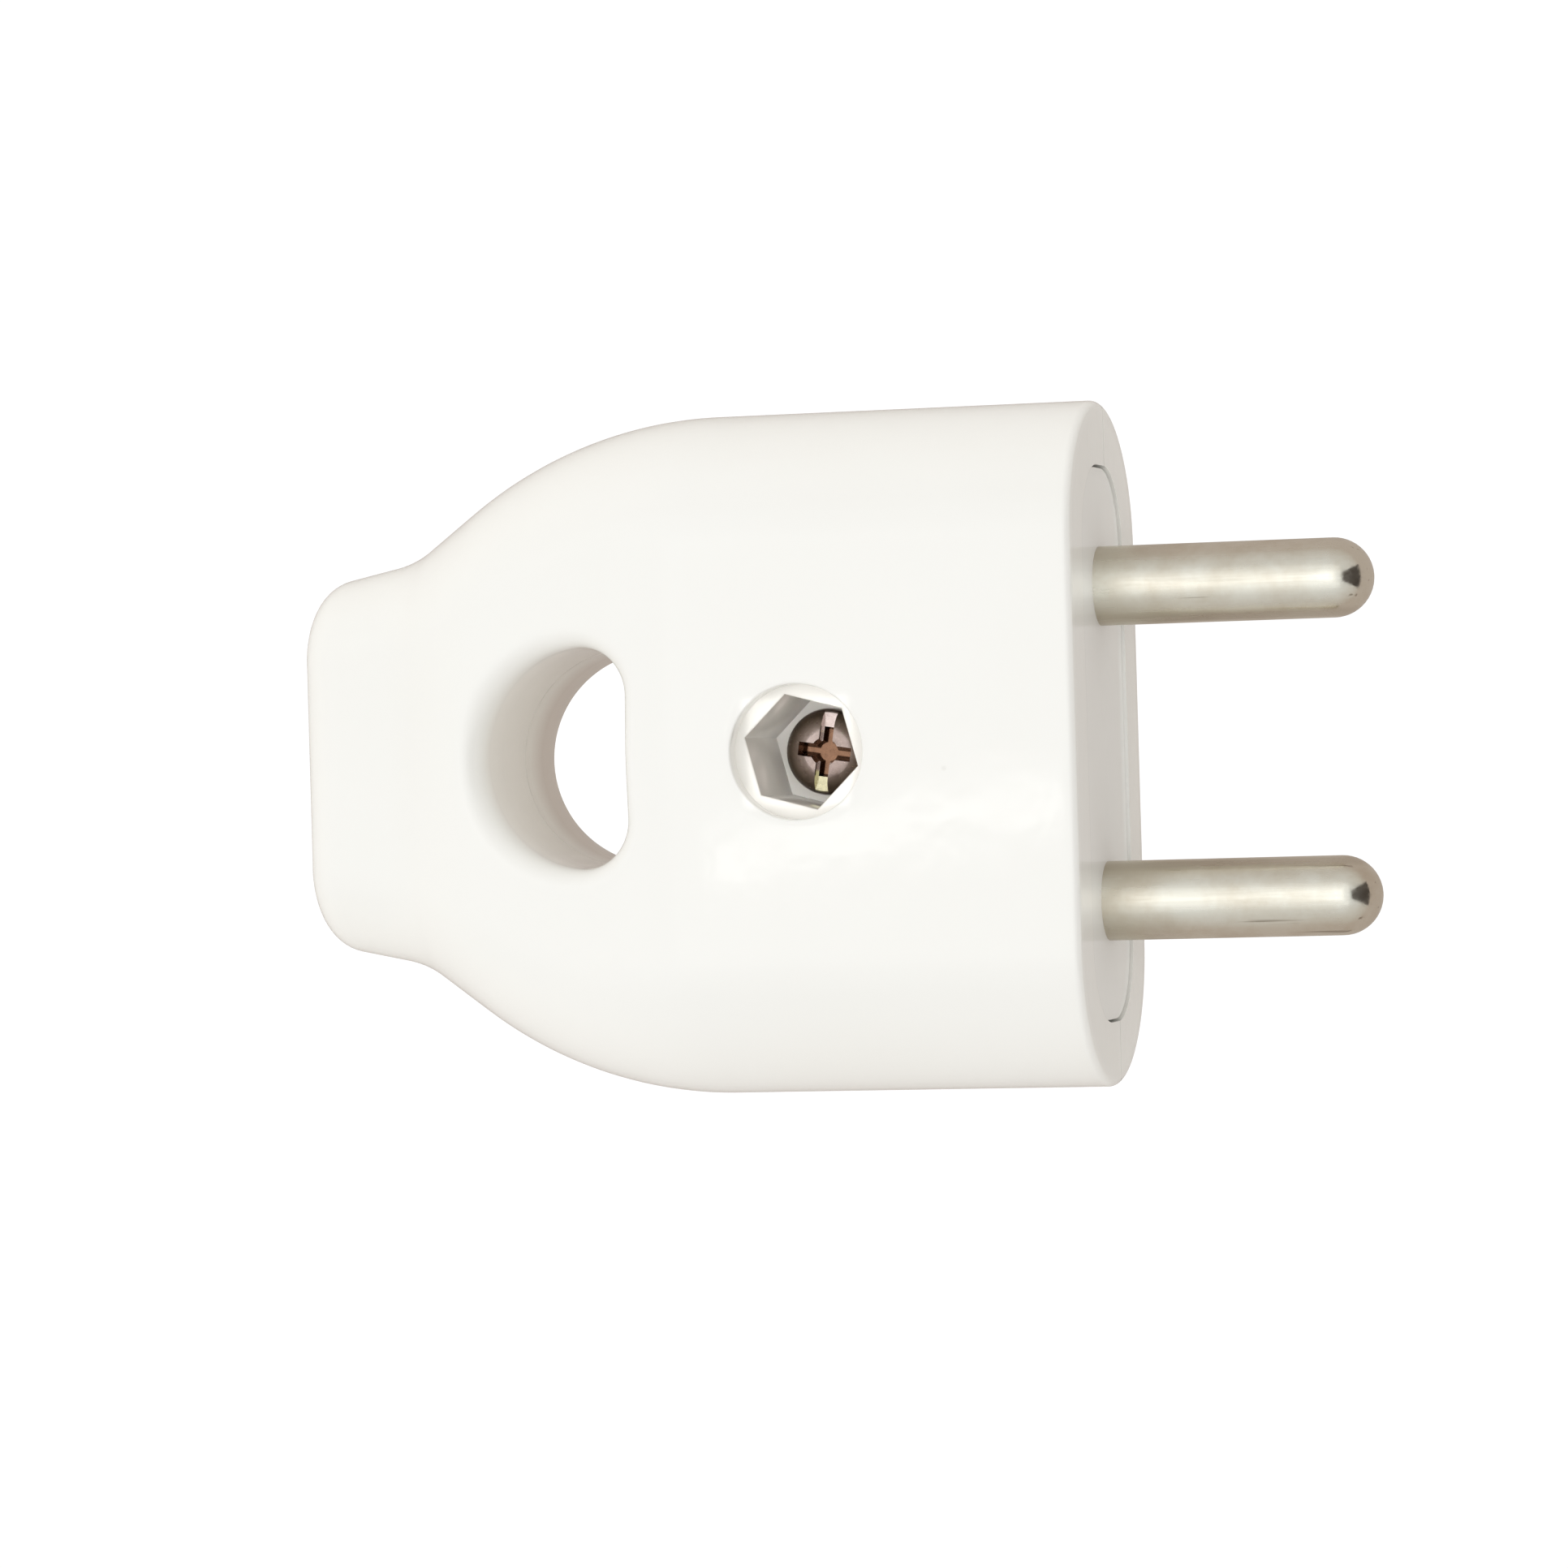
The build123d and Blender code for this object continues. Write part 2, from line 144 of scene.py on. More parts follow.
@dataclass(frozen=True)
class BodyForm:
    """Outside of the housing in millimetres: oval sections with flat faces and elliptic flanks."""

    tail: float = -49.4
    flank_share: float = 0.86
    rim_radius: float = 0.45
    tail_radius: float = 2.5
    parting: float = -1.2
    seam_gap: float = 0.07
    plan: RoundedLine = RoundedLine(
        ((-55.8, 9.8), (-43.0, 12.5), (-31.9, 20.7), (49.4, 20.7)), (6.7, 25.5)
    )
    side: RoundedLine = RoundedLine(
        ((-55.8, 5.55), (-43.0, 6.45), (-38.8, 8.3), (-26.8, 9.9), (49.4, 9.9)),
        (6.7, 10.0, 60.0),
    )

    def edge(self, half: Half) -> float:
        """Height of a half's parting edge, counted outwards along its broad face's normal."""
        return half.value * self.parting + self.seam_gap / 2

    def top(self, x: Array, y: Array) -> Array:
        """Height of the broad face and flanks over a place in plan.

        On the flat it is the half thickness. On a flank it is the half thickness times the root
        of one minus the square of how far across the flank the place lies.

        Args:
            x: Places along X, in millimetres.
            y: Places along Y, in millimetres.

        Returns:
            Heights above the mid plane.
        """
        thick = self.side.height(x)
        flank = self.flank_share * thick
        across = np.clip((np.abs(y) - (self.plan.height(x) - flank)) / flank, 0.0, 1.0)
        return thick * np.sqrt(1.0 - across**2)


@dataclass(frozen=True)
class Columns:
    """Columns of a shell's grid, from one parting edge over the broad face to the other."""

    flank: int = 34
    flat: int = 80

    @property
    def across(self) -> Array:
        """Place on the flat from 1 to -1, which stays at its end values on the flanks."""
        end = np.ones(self.flank)
        return np.concatenate([end, np.linspace(1.0, -1.0, self.flat + 1), -end])

    @property
    def down(self) -> Array:
        """Share of the flank, from 0 on the flat to 1 at the parting edge."""
        run = np.linspace(0.0, 1.0, self.flank + 1)[1:]
        return np.concatenate([run[::-1], np.zeros(self.flat + 1), run])

    @property
    def even(self) -> Array:
        """Place across the whole shell in equal steps from 1 to -1."""
        return np.linspace(1.0, -1.0, 2 * self.flank + self.flat + 1)

    def at(self, across: float) -> int:
        """Column at a place on the flat."""
        return self.flank + round((1.0 - across) / 2 * self.flat)


@dataclass
class Quilt:
    """Grids of points that are sewn into one mesh along the edges that they share."""

    points: list[Array] = field(default_factory=list)
    faces: list[Array] = field(default_factory=list)
    count: int = 0
    weld_mm: float = 0.002
    crease_deg: float = 32.0

    def add(self, grid: Array, closed: bool = False, keep: Array | None = None) -> None:
        """Adds a grid, whose faces look along its rows' direction crossed with its columns'.

        Args:
            grid: Points as rows by columns by coordinates, in millimetres.
            closed: True where the last column joins the first.
            keep: Mask of the cells that become faces, or None for all.
        """
        rows, columns = grid.shape[:2]
        index = np.arange(rows * columns).reshape(rows, columns) + self.count
        if closed:
            index = np.concatenate([index, index[:, :1]], axis=1)
        corners = [index[:-1, :-1], index[1:, :-1], index[1:, 1:], index[:-1, 1:]]
        quads = np.stack(corners, axis=-1)
        self.points.append(grid.reshape(-1, 3))
        self.faces.append(quads.reshape(-1, 4) if keep is None else quads[keep])
        self.count += rows * columns

    def build(self, name: str, mirrored: bool) -> bpy.types.Object:
        """Sews the grids into a mesh object at the origin.

        Args:
            name: Name of the piece.
            mirrored: True to turn the shape over in Z, with its faces still looking outwards.

        Returns:
            The new object, linked to the scene.
        """
        points = np.concatenate(self.points) * MM
        faces = np.concatenate(self.faces)
        if mirrored:
            points = points * np.array([1.0, 1.0, -1.0])
            faces = faces[:, ::-1]
        mesh = bpy.data.meshes.new(name)
        mesh.from_pydata(points.tolist(), [], faces.tolist())
        sewn = bmesh.new()
        sewn.from_mesh(mesh)
        bmesh.ops.remove_doubles(sewn, verts=sewn.verts, dist=self.weld_mm * MM)
        loose = [vertex for vertex in sewn.verts if not vertex.link_faces]
        bmesh.ops.delete(sewn, geom=loose, context="VERTS")
        sewn.to_mesh(mesh)
        sewn.free()
        mesh.polygons.foreach_set("use_smooth", np.ones(len(mesh.polygons), bool))
        mesh.set_sharp_from_angle(angle=math.radians(self.crease_deg))
        return add_object(name, mesh)


@dataclass(frozen=True)
class Window:
    """A block of a shell's cells that is left out of its grid, so that a hole can be sewn in."""

    ends: Pair
    across: float


def border(grid: Array, rows: Span, columns: Span) -> Array:
    """Points round a block of a grid, clockwise as seen from outside.

    Args:
        grid: The grid's points.
        rows: First and last row of the block.
        columns: First and last column of the block.

    Returns:
        The loop of points, each once.
    """
    (top, bottom), (left, right) = rows, columns
    return np.concatenate(
        [
            grid[top, left:right],
            grid[top:bottom, right],
            grid[bottom, right:left:-1],
            grid[bottom:top:-1, left],
        ]
    )


@dataclass(frozen=True)
class FingerHole:
    """The finger hole in plan: a circle cut off by a flat on the pin side, with rounded corners."""

    x: float = -30.4
    radius: float = 6.7
    flat: float = 2.7
    corner: float = 3.0
    rims: Pair = (1.3, 1.3)
    rim_drop: float = 1.0
    rim_steps: int = 10
    wall_shares: Triple = (0.35, 0.7, 1.0)
    window: Window = Window(ends=(-25.2, -39.9), across=0.775)
    border_rows: int = 10
    border_ease: float = 0.8

    def rim(self, angle: Array) -> Array:
        """Width of the rounded rim, from its width at the flat to that towards the tail."""
        at_flat, at_tail = self.rims
        return at_flat + (at_tail - at_flat) * (1.0 - np.cos(angle)) / 2.0

    def reach(self, angle: Array, grow: Array | float) -> Array:
        """Distance of the outline from the hole's centre.

        Towards the tail it is the radius. Towards the flat it is the flat's distance over the
        cosine of the angle. Between them the ray meets the corner's circle, whose centre is as
        far from both as the corner's own radius.

        Args:
            angle: Directions from the centre, in radians.
            grow: Width by which the outline is drawn outwards.

        Returns:
            Distances in millimetres.
        """
        turn = np.abs(angle)
        arm = self.radius - self.corner
        inner = self.flat - self.corner
        rise = math.sqrt(arm**2 - inner**2)
        end_round = math.atan2(rise, inner)
        end_flat = np.arctan2(rise, self.flat + grow)
        off = turn - end_round
        spread = np.clip((self.corner + grow) ** 2 - (arm * np.sin(off)) ** 2, 0.0, None)
        bend = arm * np.cos(off) + np.sqrt(spread)
        straight = (self.flat + grow) / np.cos(np.minimum(turn, end_flat))
        rounded = np.where(turn <= end_flat, straight, bend)
        return np.where(turn >= end_round, self.radius + grow, rounded)

    def loop(self, angle: Array, grow: Array | float) -> tuple[Array, Array]:
        """Places along X and Y of the outline in the given directions."""
        reach = self.reach(angle, grow)
        return self.x + reach * np.cos(angle), reach * np.sin(angle)

    def sew(self, quilt: Quilt, form: BodyForm, edge: float, loop: Array) -> None:
        """Fills a shell's window with the hole's rim, wall and parting edge.

        Rows run from the window's border to the rim on the body's own surface. Over the rim, a
        row that is drawn outwards by the rim's width less its sine's share lies lower by the drop
        less its cosine's share. The wall then goes straight down to the parting edge and turns in
        under it.

        Args:
            quilt: Quilt that takes the grid.
            form: Outside of the housing.
            edge: Height of the parting edge.
            loop: Border of the window.
        """
        angle = np.arctan2(loop[:, 1], loop[:, 0] - self.x)
        rim = self.rim(angle)
        outer = np.stack(self.loop(angle, rim), axis=-1)
        shares = np.linspace(0.0, 1.0, self.border_rows) ** self.border_ease
        x, y = np.moveaxis(lerp(loop[:, :2], outer, shares), -1, 0)
        rows = [places(x, y, form.top(x, y))]
        for sine, cosine in zip(*(share[1:] for share in arc_shares(self.rim_steps))):
            x, y = self.loop(angle, rim * (1.0 - sine))
            drop = self.rim_drop * rim * (1.0 - cosine)
            rows.append(places(x, y, form.top(x, y) - drop)[None])
        low = places(*self.loop(angle, 0.0), edge)
        rows.append(lerp(rows[-1][0], low, np.array(self.wall_shares)))
        rows.append(places(*self.loop(angle, rim), edge)[None])
        quilt.add(np.concatenate(rows), closed=True)


@dataclass(frozen=True)
class ScrewPocket:
    """A hexagon pocket on the screw's axis, with or without a round recess above it."""

    x: float = -16.95
    flats: float = 6.2
    turn_deg: float = 44.8
    floor: float = 1.0
    bore: float = 1.6
    recess_radius: float = 0.0
    recess_depth: float = 0.0
    edge_break: float = 0.14
    edge_steps: int = 3
    window: Window = Window(ends=(-10.9, -23.0), across=0.45)
    border_rows: int = 5

    def ring(self, angle: Array, reach: Array | float, height: float) -> Array:
        """One row of points round the axis."""
        return places(self.x + reach * np.cos(angle), reach * np.sin(angle), height)[None]

    def to_corners(self, angle: Array) -> Array:
        """Directions with the nearest one to each of the hexagon's corners moved onto it.

        Args:
            angle: Directions of the columns, in radians.

        Returns:
            The same directions, six of them replaced.
        """
        corners = math.radians(self.turn_deg) + np.arange(6) * SIXTH
        corners = np.arctan2(np.sin(corners), np.cos(corners))
        away = np.abs(np.angle(np.exp(1j * (angle[:, None] - corners[None]))))
        moved = angle.copy()
        moved[away.argmin(axis=0)] = corners
        return moved

    def hexagon(self, angle: Array) -> Array:
        """Distance of the wall: half the flats over the cosine of the angle off a flat's middle."""
        off = np.mod(angle - math.radians(self.turn_deg), SIXTH) - SIXTH / 2
        return self.flats / 2 / np.cos(off)

    def broken_edge(self, angle: Array, reach: Array | float, top: float) -> list[Array]:
        """Rows over a rounded edge, from the level above it down onto the wall below it.

        Args:
            angle: Directions of the columns.
            reach: Distance of the wall in each direction.
            top: Height of the level.

        Returns:
            One grid row for each step of the quarter turn.
        """
        rows = []
        for sine, cosine in zip(*arc_shares(self.edge_steps)):
            out = reach + self.edge_break * (1.0 - sine)
            rows.append(self.ring(angle, out, top - self.edge_break * (1.0 - cosine)))
        return rows

    def sew(self, quilt: Quilt, form: BodyForm, edge: float, loop: Array) -> None:
        """Fills a shell's window with the recess, the pocket's walls and its floor.

        Args:
            quilt: Quilt that takes the grid.
            form: Outside of the housing, which is flat here.
            edge: Height of the parting edge, below which the floor doesn't go.
            loop: Border of the window.
        """
        level = float(form.top(np.array(self.x), np.array(0.0)))
        floor = max(self.floor, edge)
        round_angle = np.arctan2(loop[:, 1], loop[:, 0] - self.x)
        hex_angle = self.to_corners(round_angle)
        wall = self.hexagon(hex_angle)
        rows = []
        if self.recess_radius:
            rows += self.broken_edge(round_angle, self.recess_radius, level)
            level -= self.recess_depth
            rows.append(self.ring(round_angle, self.recess_radius, level))
        rows += self.broken_edge(hex_angle, wall, level)
        rows += [self.ring(hex_angle, reach, floor) for reach in (wall, self.bore)]
        shares = np.linspace(0.0, 1.0, self.border_rows, endpoint=False)
        rows.insert(0, lerp(loop, rows[0][0], shares))
        quilt.add(np.concatenate(rows), closed=True)


@dataclass(frozen=True)
class FaceOpening:
    """The opening for the pin carrier in the pin face: half a rounded rectangle in each shell."""

    half_width: float = 16.8
    half_height: float = 6.02
    corner: float = 5.02
    depth: float = 3.0
    edge_break: float = 0.02
    edge_steps: int = 3
    support: float = 0.06

    def row(self, columns: Columns, x: float, edge: float, grow: float) -> Array:
        """The opening's outline as one row of a shell.

        The flat's columns share out the straight top. A flank's columns go by length round the
        corner and on down the straight side to the parting edge.

        Args:
            columns: Columns of the shell's grid.
            x: Place along X.
            edge: Height of the parting edge.
            grow: Width by which the outline is drawn outwards.

        Returns:
            One row of points.
        """
        radius = self.corner + grow
        side = self.half_width - self.corner
        low = self.half_height - self.corner
        turn = math.acos(min(1.0, max(0.0, (edge - low) / radius)))
        run = columns.down * (radius * turn + max(0.0, low - edge))
        angle = np.minimum(run / radius, turn)
        y = columns.across * side + np.sign(columns.across) * radius * np.sin(angle)
        z = low + radius * np.cos(angle) - np.maximum(run - radius * turn, 0.0)
        return places(x, y, z)

    def rows(self, columns: Columns, edge: float) -> list[Array]:
        """Rows from the depth of the opening out over its broken edge onto the pin face.

        The last row lies close to the edge, so that the face's shading stays flat up to it.

        Args:
            columns: Columns of the shell's grid.
            edge: Height of the parting edge.

        Returns:
            The rows in order.
        """
        made = [self.row(columns, -self.depth, edge, 0.0)]
        for sine, cosine in zip(*arc_shares(self.edge_steps)):
            x = self.edge_break * (sine - 1.0)
            made.append(self.row(columns, x, edge, self.edge_break * (1.0 - cosine)))
        made.append(self.row(columns, 0.0, edge, self.support))
        return made


@dataclass(frozen=True)
class CordInlet:
    """The round inlet in the tail's end wall, half of it in each shell."""

    radius: float = 3.2
    edge: float = 0.5
    edge_steps: int = 5
    depth: float = 2.0

    def row(self, columns: Columns, x: float, edge: float, radius: float) -> Array:
        """Part of a circle round X as one row of a shell, from parting edge to parting edge."""
        angle = columns.even * math.acos(edge / radius)
        return places(x, radius * np.sin(angle), radius * np.cos(angle))

    def rows(self, columns: Columns, tail: float, edge: float) -> list[Array]:
        """Rows from the tail's end face in over the inlet's rounded edge to the end of its wall.

        Args:
            columns: Columns of the shell's grid.
            tail: Place of the tail's end face.
            edge: Height of the parting edge.

        Returns:
            The rows in order.
        """
        made = []
        for sine, cosine in zip(*arc_shares(self.edge_steps)):
            x = tail + self.edge * (1.0 - cosine)
            made.append(self.row(columns, x, edge, self.radius + self.edge * (1.0 - sine)))
        made.append(self.row(columns, tail + self.depth, edge, self.radius))
        return made


@dataclass
class HousingShell:
    """One half of the moulded housing, from the pin face to the cord inlet."""

    name: str
    node: str
    half: Half
    pocket: ScrewPocket
    form: BodyForm = BodyForm()
    columns: Columns = Columns()
    hole: FingerHole = FingerHole()
    opening: FaceOpening = FaceOpening()
    inlet: CordInlet = CordInlet()
    row_pitch: float = 0.3
    rim_steps: int = 8
    tail_steps: int = 14
    end_rows: int = 4
    lip: float = 0.9

    def stations(self) -> Array:
        """Places along X of the body's rows, with both end radii and each window's ends.

        Returns:
            Places from the pin face to the tail.
        """
        form = self.form
        face = -form.rim_radius * (1.0 - arc_shares(self.rim_steps)[1])
        tail = form.tail + form.tail_radius * (1.0 - arc_shares(self.tail_steps)[0])
        stops = [face[-1], *self.pocket.window.ends, *self.hole.window.ends, tail[0]]
        runs = [
            np.linspace(a, b, max(2, round((a - b) / self.row_pitch)) + 1)[1:]
            for a, b in zip(stops, stops[1:])
        ]
        return np.concatenate([face, *runs, tail[1:]])

    def body_rows(self, x: Array) -> Array:
        """The outside as a grid of stations along X and columns round the section.

        A point of the flat lies its share of the flat's half length from the middle. A point of
        a flank lies on the half ellipse that starts where the flat ends. Near both ends every
        point is drawn in along the section's normal by the inset there, and the flank is eased so
        that it still ends on the parting edge.

        Args:
            x: Places of the rows along X.

        Returns:
            Points as rows by columns by coordinates.
        """
        form, edge = self.form, self.form.edge(self.half)
        across, down = self.columns.across, self.columns.down
        thick = form.side.height(x)[:, None]
        flank = form.flank_share * thick
        flat = form.plan.height(x)[:, None] - flank
        angle = down * np.arccos(edge / thick)
        sine, cosine = np.sin(angle), np.cos(angle)
        normal = np.hypot(sine, form.flank_share * cosine)
        inset = self.inset(x, sine, cosine, normal)
        y = across * flat + np.sign(across) * (flank * sine - inset * sine / normal)
        z = thick * cosine - inset * form.flank_share * cosine / normal
        return places(x[:, None], y, z + down**2 * (edge - z[:, -1:]))

    def inset(self, x: Array, sine: Array, cosine: Array, normal: Array) -> Array:
        """Depth by which the rounded ends draw the surface in.

        At the pin face it is the rim's radius less its circle's height. At the tail, a ball
        touches the end face and the sloping wall, and the inset is the wall's height less the
        ball's.

        Args:
            x: Places of the rows along X.
            sine: Sine of each point's angle on its flank.
            cosine: Cosine of that angle.
            normal: Length of the section's normal before it is scaled to one.

        Returns:
            Depths as rows by columns.
        """
        form, share = self.form, self.form.flank_share
        rim, ball = form.rim_radius, form.tail_radius
        face = rim - np.sqrt(rim**2 - np.clip(x + rim, 0.0, rim) ** 2)
        ends = np.array([form.tail, form.tail + 1.0])
        widen, thicken = np.diff(form.plan.height(ends)), np.diff(form.side.height(ends))
        slope = (widen - share * thicken * (1.0 - sine)) * sine + thicken * share * cosine**2
        slope = slope / normal
        lean = np.sqrt(1.0 + slope**2)
        touch = ball - ball * slope / lean
        past = np.clip(x - form.tail, 0.0, ball)[:, None]
        circle = np.sqrt(ball**2 - (ball - past) ** 2)
        end = slope * (past - touch) + ball / lean - circle
        return face[:, None] + np.where(past < touch, np.clip(end, 0.0, None), 0.0)

    def lips(self, grid: Array) -> list[Array]:
        """The two parting edges, each with a second row set back into the wall.

        The way into the wall is the way along the edge, turned by a quarter turn in the parting
        plane.

        Args:
            grid: The shell's whole grid.

        Returns:
            A grid for each side, ready to be sewn on.
        """
        made = []
        for column, sign in ((0, 1.0), (-1, -1.0)):
            edge = grid[:, column]
            along = np.gradient(edge[:, :2], axis=0)
            along = along / np.maximum(np.linalg.norm(along, axis=1, keepdims=True), TINY)
            back = edge + self.lip * sign * places(-along[:, 1], along[:, 0], 0.0)
            made.append(np.stack([back, edge] if sign > 0 else [edge, back], axis=1))
        return made

    def block(self, window: Window, x: Array) -> tuple[Span, Span]:
        """Rows and columns of a window in the body's grid.

        Args:
            window: The window.
            x: Places of the body's rows.

        Returns:
            First and last row, and first and last column.
        """
        first, last = (int(np.abs(x - end).argmin()) for end in window.ends)
        return (first, last), (self.columns.at(window.across), self.columns.at(-window.across))

    def build(self, finish: "Finish") -> bpy.types.Object:
        """Makes the shell's mesh, dresses it and lets it stand for its CAD node.

        Args:
            finish: Finish of the moulding.

        Returns:
            The new piece.
        """
        edge = self.form.edge(self.half)
        x = self.stations()
        body = self.body_rows(x)
        mouth = np.stack(self.opening.rows(self.columns, edge))
        inlet = np.stack(self.inlet.rows(self.columns, self.form.tail, edge))
        between = np.linspace(0.0, 1.0, self.end_rows + 2)[1:-1]
        face = lerp(mouth[-1], body[0], between)
        end = lerp(body[-1], inlet[0], between)
        quilt = Quilt()
        keep = np.ones((len(body) - 1, body.shape[1] - 1), bool)
        for feature in (self.pocket, self.hole):
            rows, columns = self.block(feature.window, x)
            keep[slice(*rows), slice(*columns)] = False
            feature.sew(quilt, self.form, edge, border(body, rows, columns))
        before, after = len(mouth) + len(face), len(end) + len(inlet)
        keep = np.pad(keep, ((before, after), (0, 0)), constant_values=True)
        grid = np.concatenate([mouth, face, body, end, inlet])
        quilt.add(grid, keep=keep)
        for lip in self.lips(grid):
            quilt.add(lip)
        piece = quilt.build(self.name, mirrored=self.half is Half.REAR)
        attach(piece, BODY)
        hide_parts(self.node)
        finish.dress(piece)
        return piece


@dataclass(frozen=True)
class Grain:
    """A noise: waves per metre, finer layers, their weight, and the part of its range in use."""

    scale: float
    detail: float
    rough: float = 0.5
    cut: Pair = RISING

    def inputs(self) -> dict[str, float]:
        """The noise node's own inputs."""
        return {"Scale": self.scale, "Detail": self.detail, "Roughness": self.rough}


TONES = Grain(45.0, 2.0, cut=(0.35, 0.65))
GLOSSES = Grain(160.0, 4.0, 0.6, cut=(0.3, 0.7))
RIPPLES = Grain(420.0, 2.0)
FINE_RIPPLES = Grain(5200.0, 2.0)
FINE_SHARE = 0.05
SCRATCHES = Grain(2600.0, 3.0, 0.7, cut=(0.62, 0.8))
SCRATCH_DRAW: Triple = (0.06, 1.0, 1.0)
SPECK_CELLS = 240.0
SPECK_EDGE: Pair = (0.03, 0.06)
RARE_PLACES = Grain(130.0, 1.0, cut=(0.6, 0.66))
WORK_LINES = Grain(3600.0, 3.0, 0.65)
STAINS = Grain(330.0, 4.0, 0.6, cut=(0.42, 0.7))
PITS = Grain(1500.0, 3.0, 0.6, cut=(0.64, 0.71))
WORN_TIP_MM: Pair = (-2.0, 0.0)


@dataclass(frozen=True)
class Graph:
    """A shader's node tree, with the steps that the finishes are made of."""

    tree: Shader

    def give(self, node: Node, inputs: dict[str | int, Given]) -> None:
        """Gives a node its inputs: sockets are linked to it, and other values are set on it.

        Args:
            node: Node that takes the inputs.
            inputs: Sockets, numbers and colours, by the names or numbers of the node's inputs.
        """
        for label, value in inputs.items():
            socket = node.inputs[label]
            if isinstance(value, Socket):
                self.tree.links.new(value, socket)
            else:
                socket.default_value = (*value, 1.0) if socket.type == "RGBA" else value

    def add(self, kind: str, inputs: dict[str | int, Given], **settings: object) -> Node:
        """Adds a shader node.

        Args:
            kind: The node's type, without the words that every type starts with.
            inputs: Sockets and values for its inputs.
            settings: Values of its own settings, which are made before the inputs.

        Returns:
            The new node.
        """
        node = self.tree.nodes.new("ShaderNode" + kind)
        for label, value in settings.items():
            setattr(node, label, value)
        self.give(node, inputs)
        return node

    def coords(self, stretch: Triple = (1.0, 1.0, 1.0)) -> Socket:
        """Object coordinates, times a factor along each axis."""
        place = self.add("TexCoord", {}).outputs["Object"]
        return self.add("Mapping", {"Vector": place, "Scale": stretch}).outputs["Vector"]

    def axes(self, place: Socket) -> tuple[Socket, Socket, Socket]:
        """A place's parts along X, Y and Z."""
        parts = self.add("SeparateXYZ", {"Vector": place}).outputs
        return parts["X"], parts["Y"], parts["Z"]

    def remap(self, value: Socket, source: Pair, target: Pair = RISING) -> Socket:
        """A value carried from a source range's ends to the target's, and kept between them."""
        inputs = dict(enumerate((value, *source, *target)))
        return self.add("MapRange", inputs).outputs["Result"]

    def band(self, length: Socket, ends_mm: Pair, target: Pair = RISING) -> Socket:
        """A length carried from a range in millimetres to the target, and kept inside it."""
        return self.remap(length, (ends_mm[0] * MM, ends_mm[1] * MM), target)

    def grain(self, place: Socket, grain: Grain) -> Socket:
        """A noise's value at a place, with the part of its range in use carried to 0 to 1."""
        noise = self.add("TexNoise", {"Vector": place, **grain.inputs()})
        return self.remap(noise.outputs["Fac"], grain.cut)

    def reckon(self, operation: str, first: Socket, second: Socket | float = 0.0) -> Socket:
        """The result of a Math node's operation on one value or two."""
        return self.add("Math", {0: first, 1: second}, operation=operation).outputs["Value"]

    def product(self, *values: Socket | float) -> Socket:
        """The product of values, of which the first is a socket."""
        return reduce(partial(self.reckon, "MULTIPLY"), values)

    def reach(self, along: Socket, across: Socket) -> Socket:
        """Distance from an axis: the root of the sum of both squares."""
        squares = [self.product(side, side) for side in (along, across)]
        return self.reckon("SQRT", self.reckon("ADD", *squares))

    def blend(self, share: Socket, low: Triple | Socket, high: Triple) -> Socket:
        """A colour between two colours, by the share of the second."""
        inputs = {"Factor": share, "A": low, "B": high}
        return self.add("Mix", inputs, data_type="RGBA").outputs["Result"]

    def layers(self, colour: Triple | Socket, *marks: tuple[Socket, Triple]) -> Socket:
        """A colour with marks laid over it in order, each given by its share and its colour."""
        return reduce(lambda below, mark: self.blend(mark[0], below, mark[1]), marks, colour)

    def bump(self, height: Socket, strength: float, depth_mm: float) -> Socket:
        """A normal that follows a height, of which 1 stands for the depth."""
        inputs = {"Height": height, "Strength": strength, "Distance": depth_mm * MM}
        return self.add("Bump", inputs).outputs["Normal"]


def moulded_skin(graph: Graph, _given: Outputs) -> dict[str, Socket]:
    """Moulded plastic: a slow change of tone, a gloss that varies and a faint ripple.

    Args:
        graph: Graph of the group.
        _given: The group's inputs, of which it has none.

    Returns:
        The group's outputs Tone, Gloss and Height, all from 0 to 1.
    """
    place = graph.coords()
    ripple = graph.product(graph.grain(place, RIPPLES), 1.0 - FINE_SHARE)
    fine = graph.product(graph.grain(place, FINE_RIPPLES), FINE_SHARE)
    return {
        "Tone": graph.grain(place, TONES),
        "Gloss": graph.grain(place, GLOSSES),
        "Height": graph.reckon("ADD", ripple, fine),
    }


def rub_marks(graph: Graph, given: Outputs) -> dict[str, Socket]:
    """Handling: fine scratches that run one way and a few small specks.

    The scratches are a noise drawn out along X and cut off high. The specks are the middles of
    scattered cells, kept only where a slow noise is high.

    Args:
        graph: Graph of the group.
        given: The group's inputs Scratches and Specks, which weaken its outputs.

    Returns:
        The group's outputs Scratch and Speck, both from 0 to 1.
    """
    scratch = graph.grain(graph.coords(SCRATCH_DRAW), SCRATCHES)
    place = graph.coords()
    cells = graph.add("TexVoronoi", {"Vector": place, "Scale": SPECK_CELLS})
    dots = graph.remap(cells.outputs["Distance"], SPECK_EDGE, FALLING)
    rare = graph.grain(place, RARE_PLACES)
    return {
        "Scratch": graph.product(scratch, given["Scratches"]),
        "Speck": graph.product(dots, rare, given["Specks"]),
    }


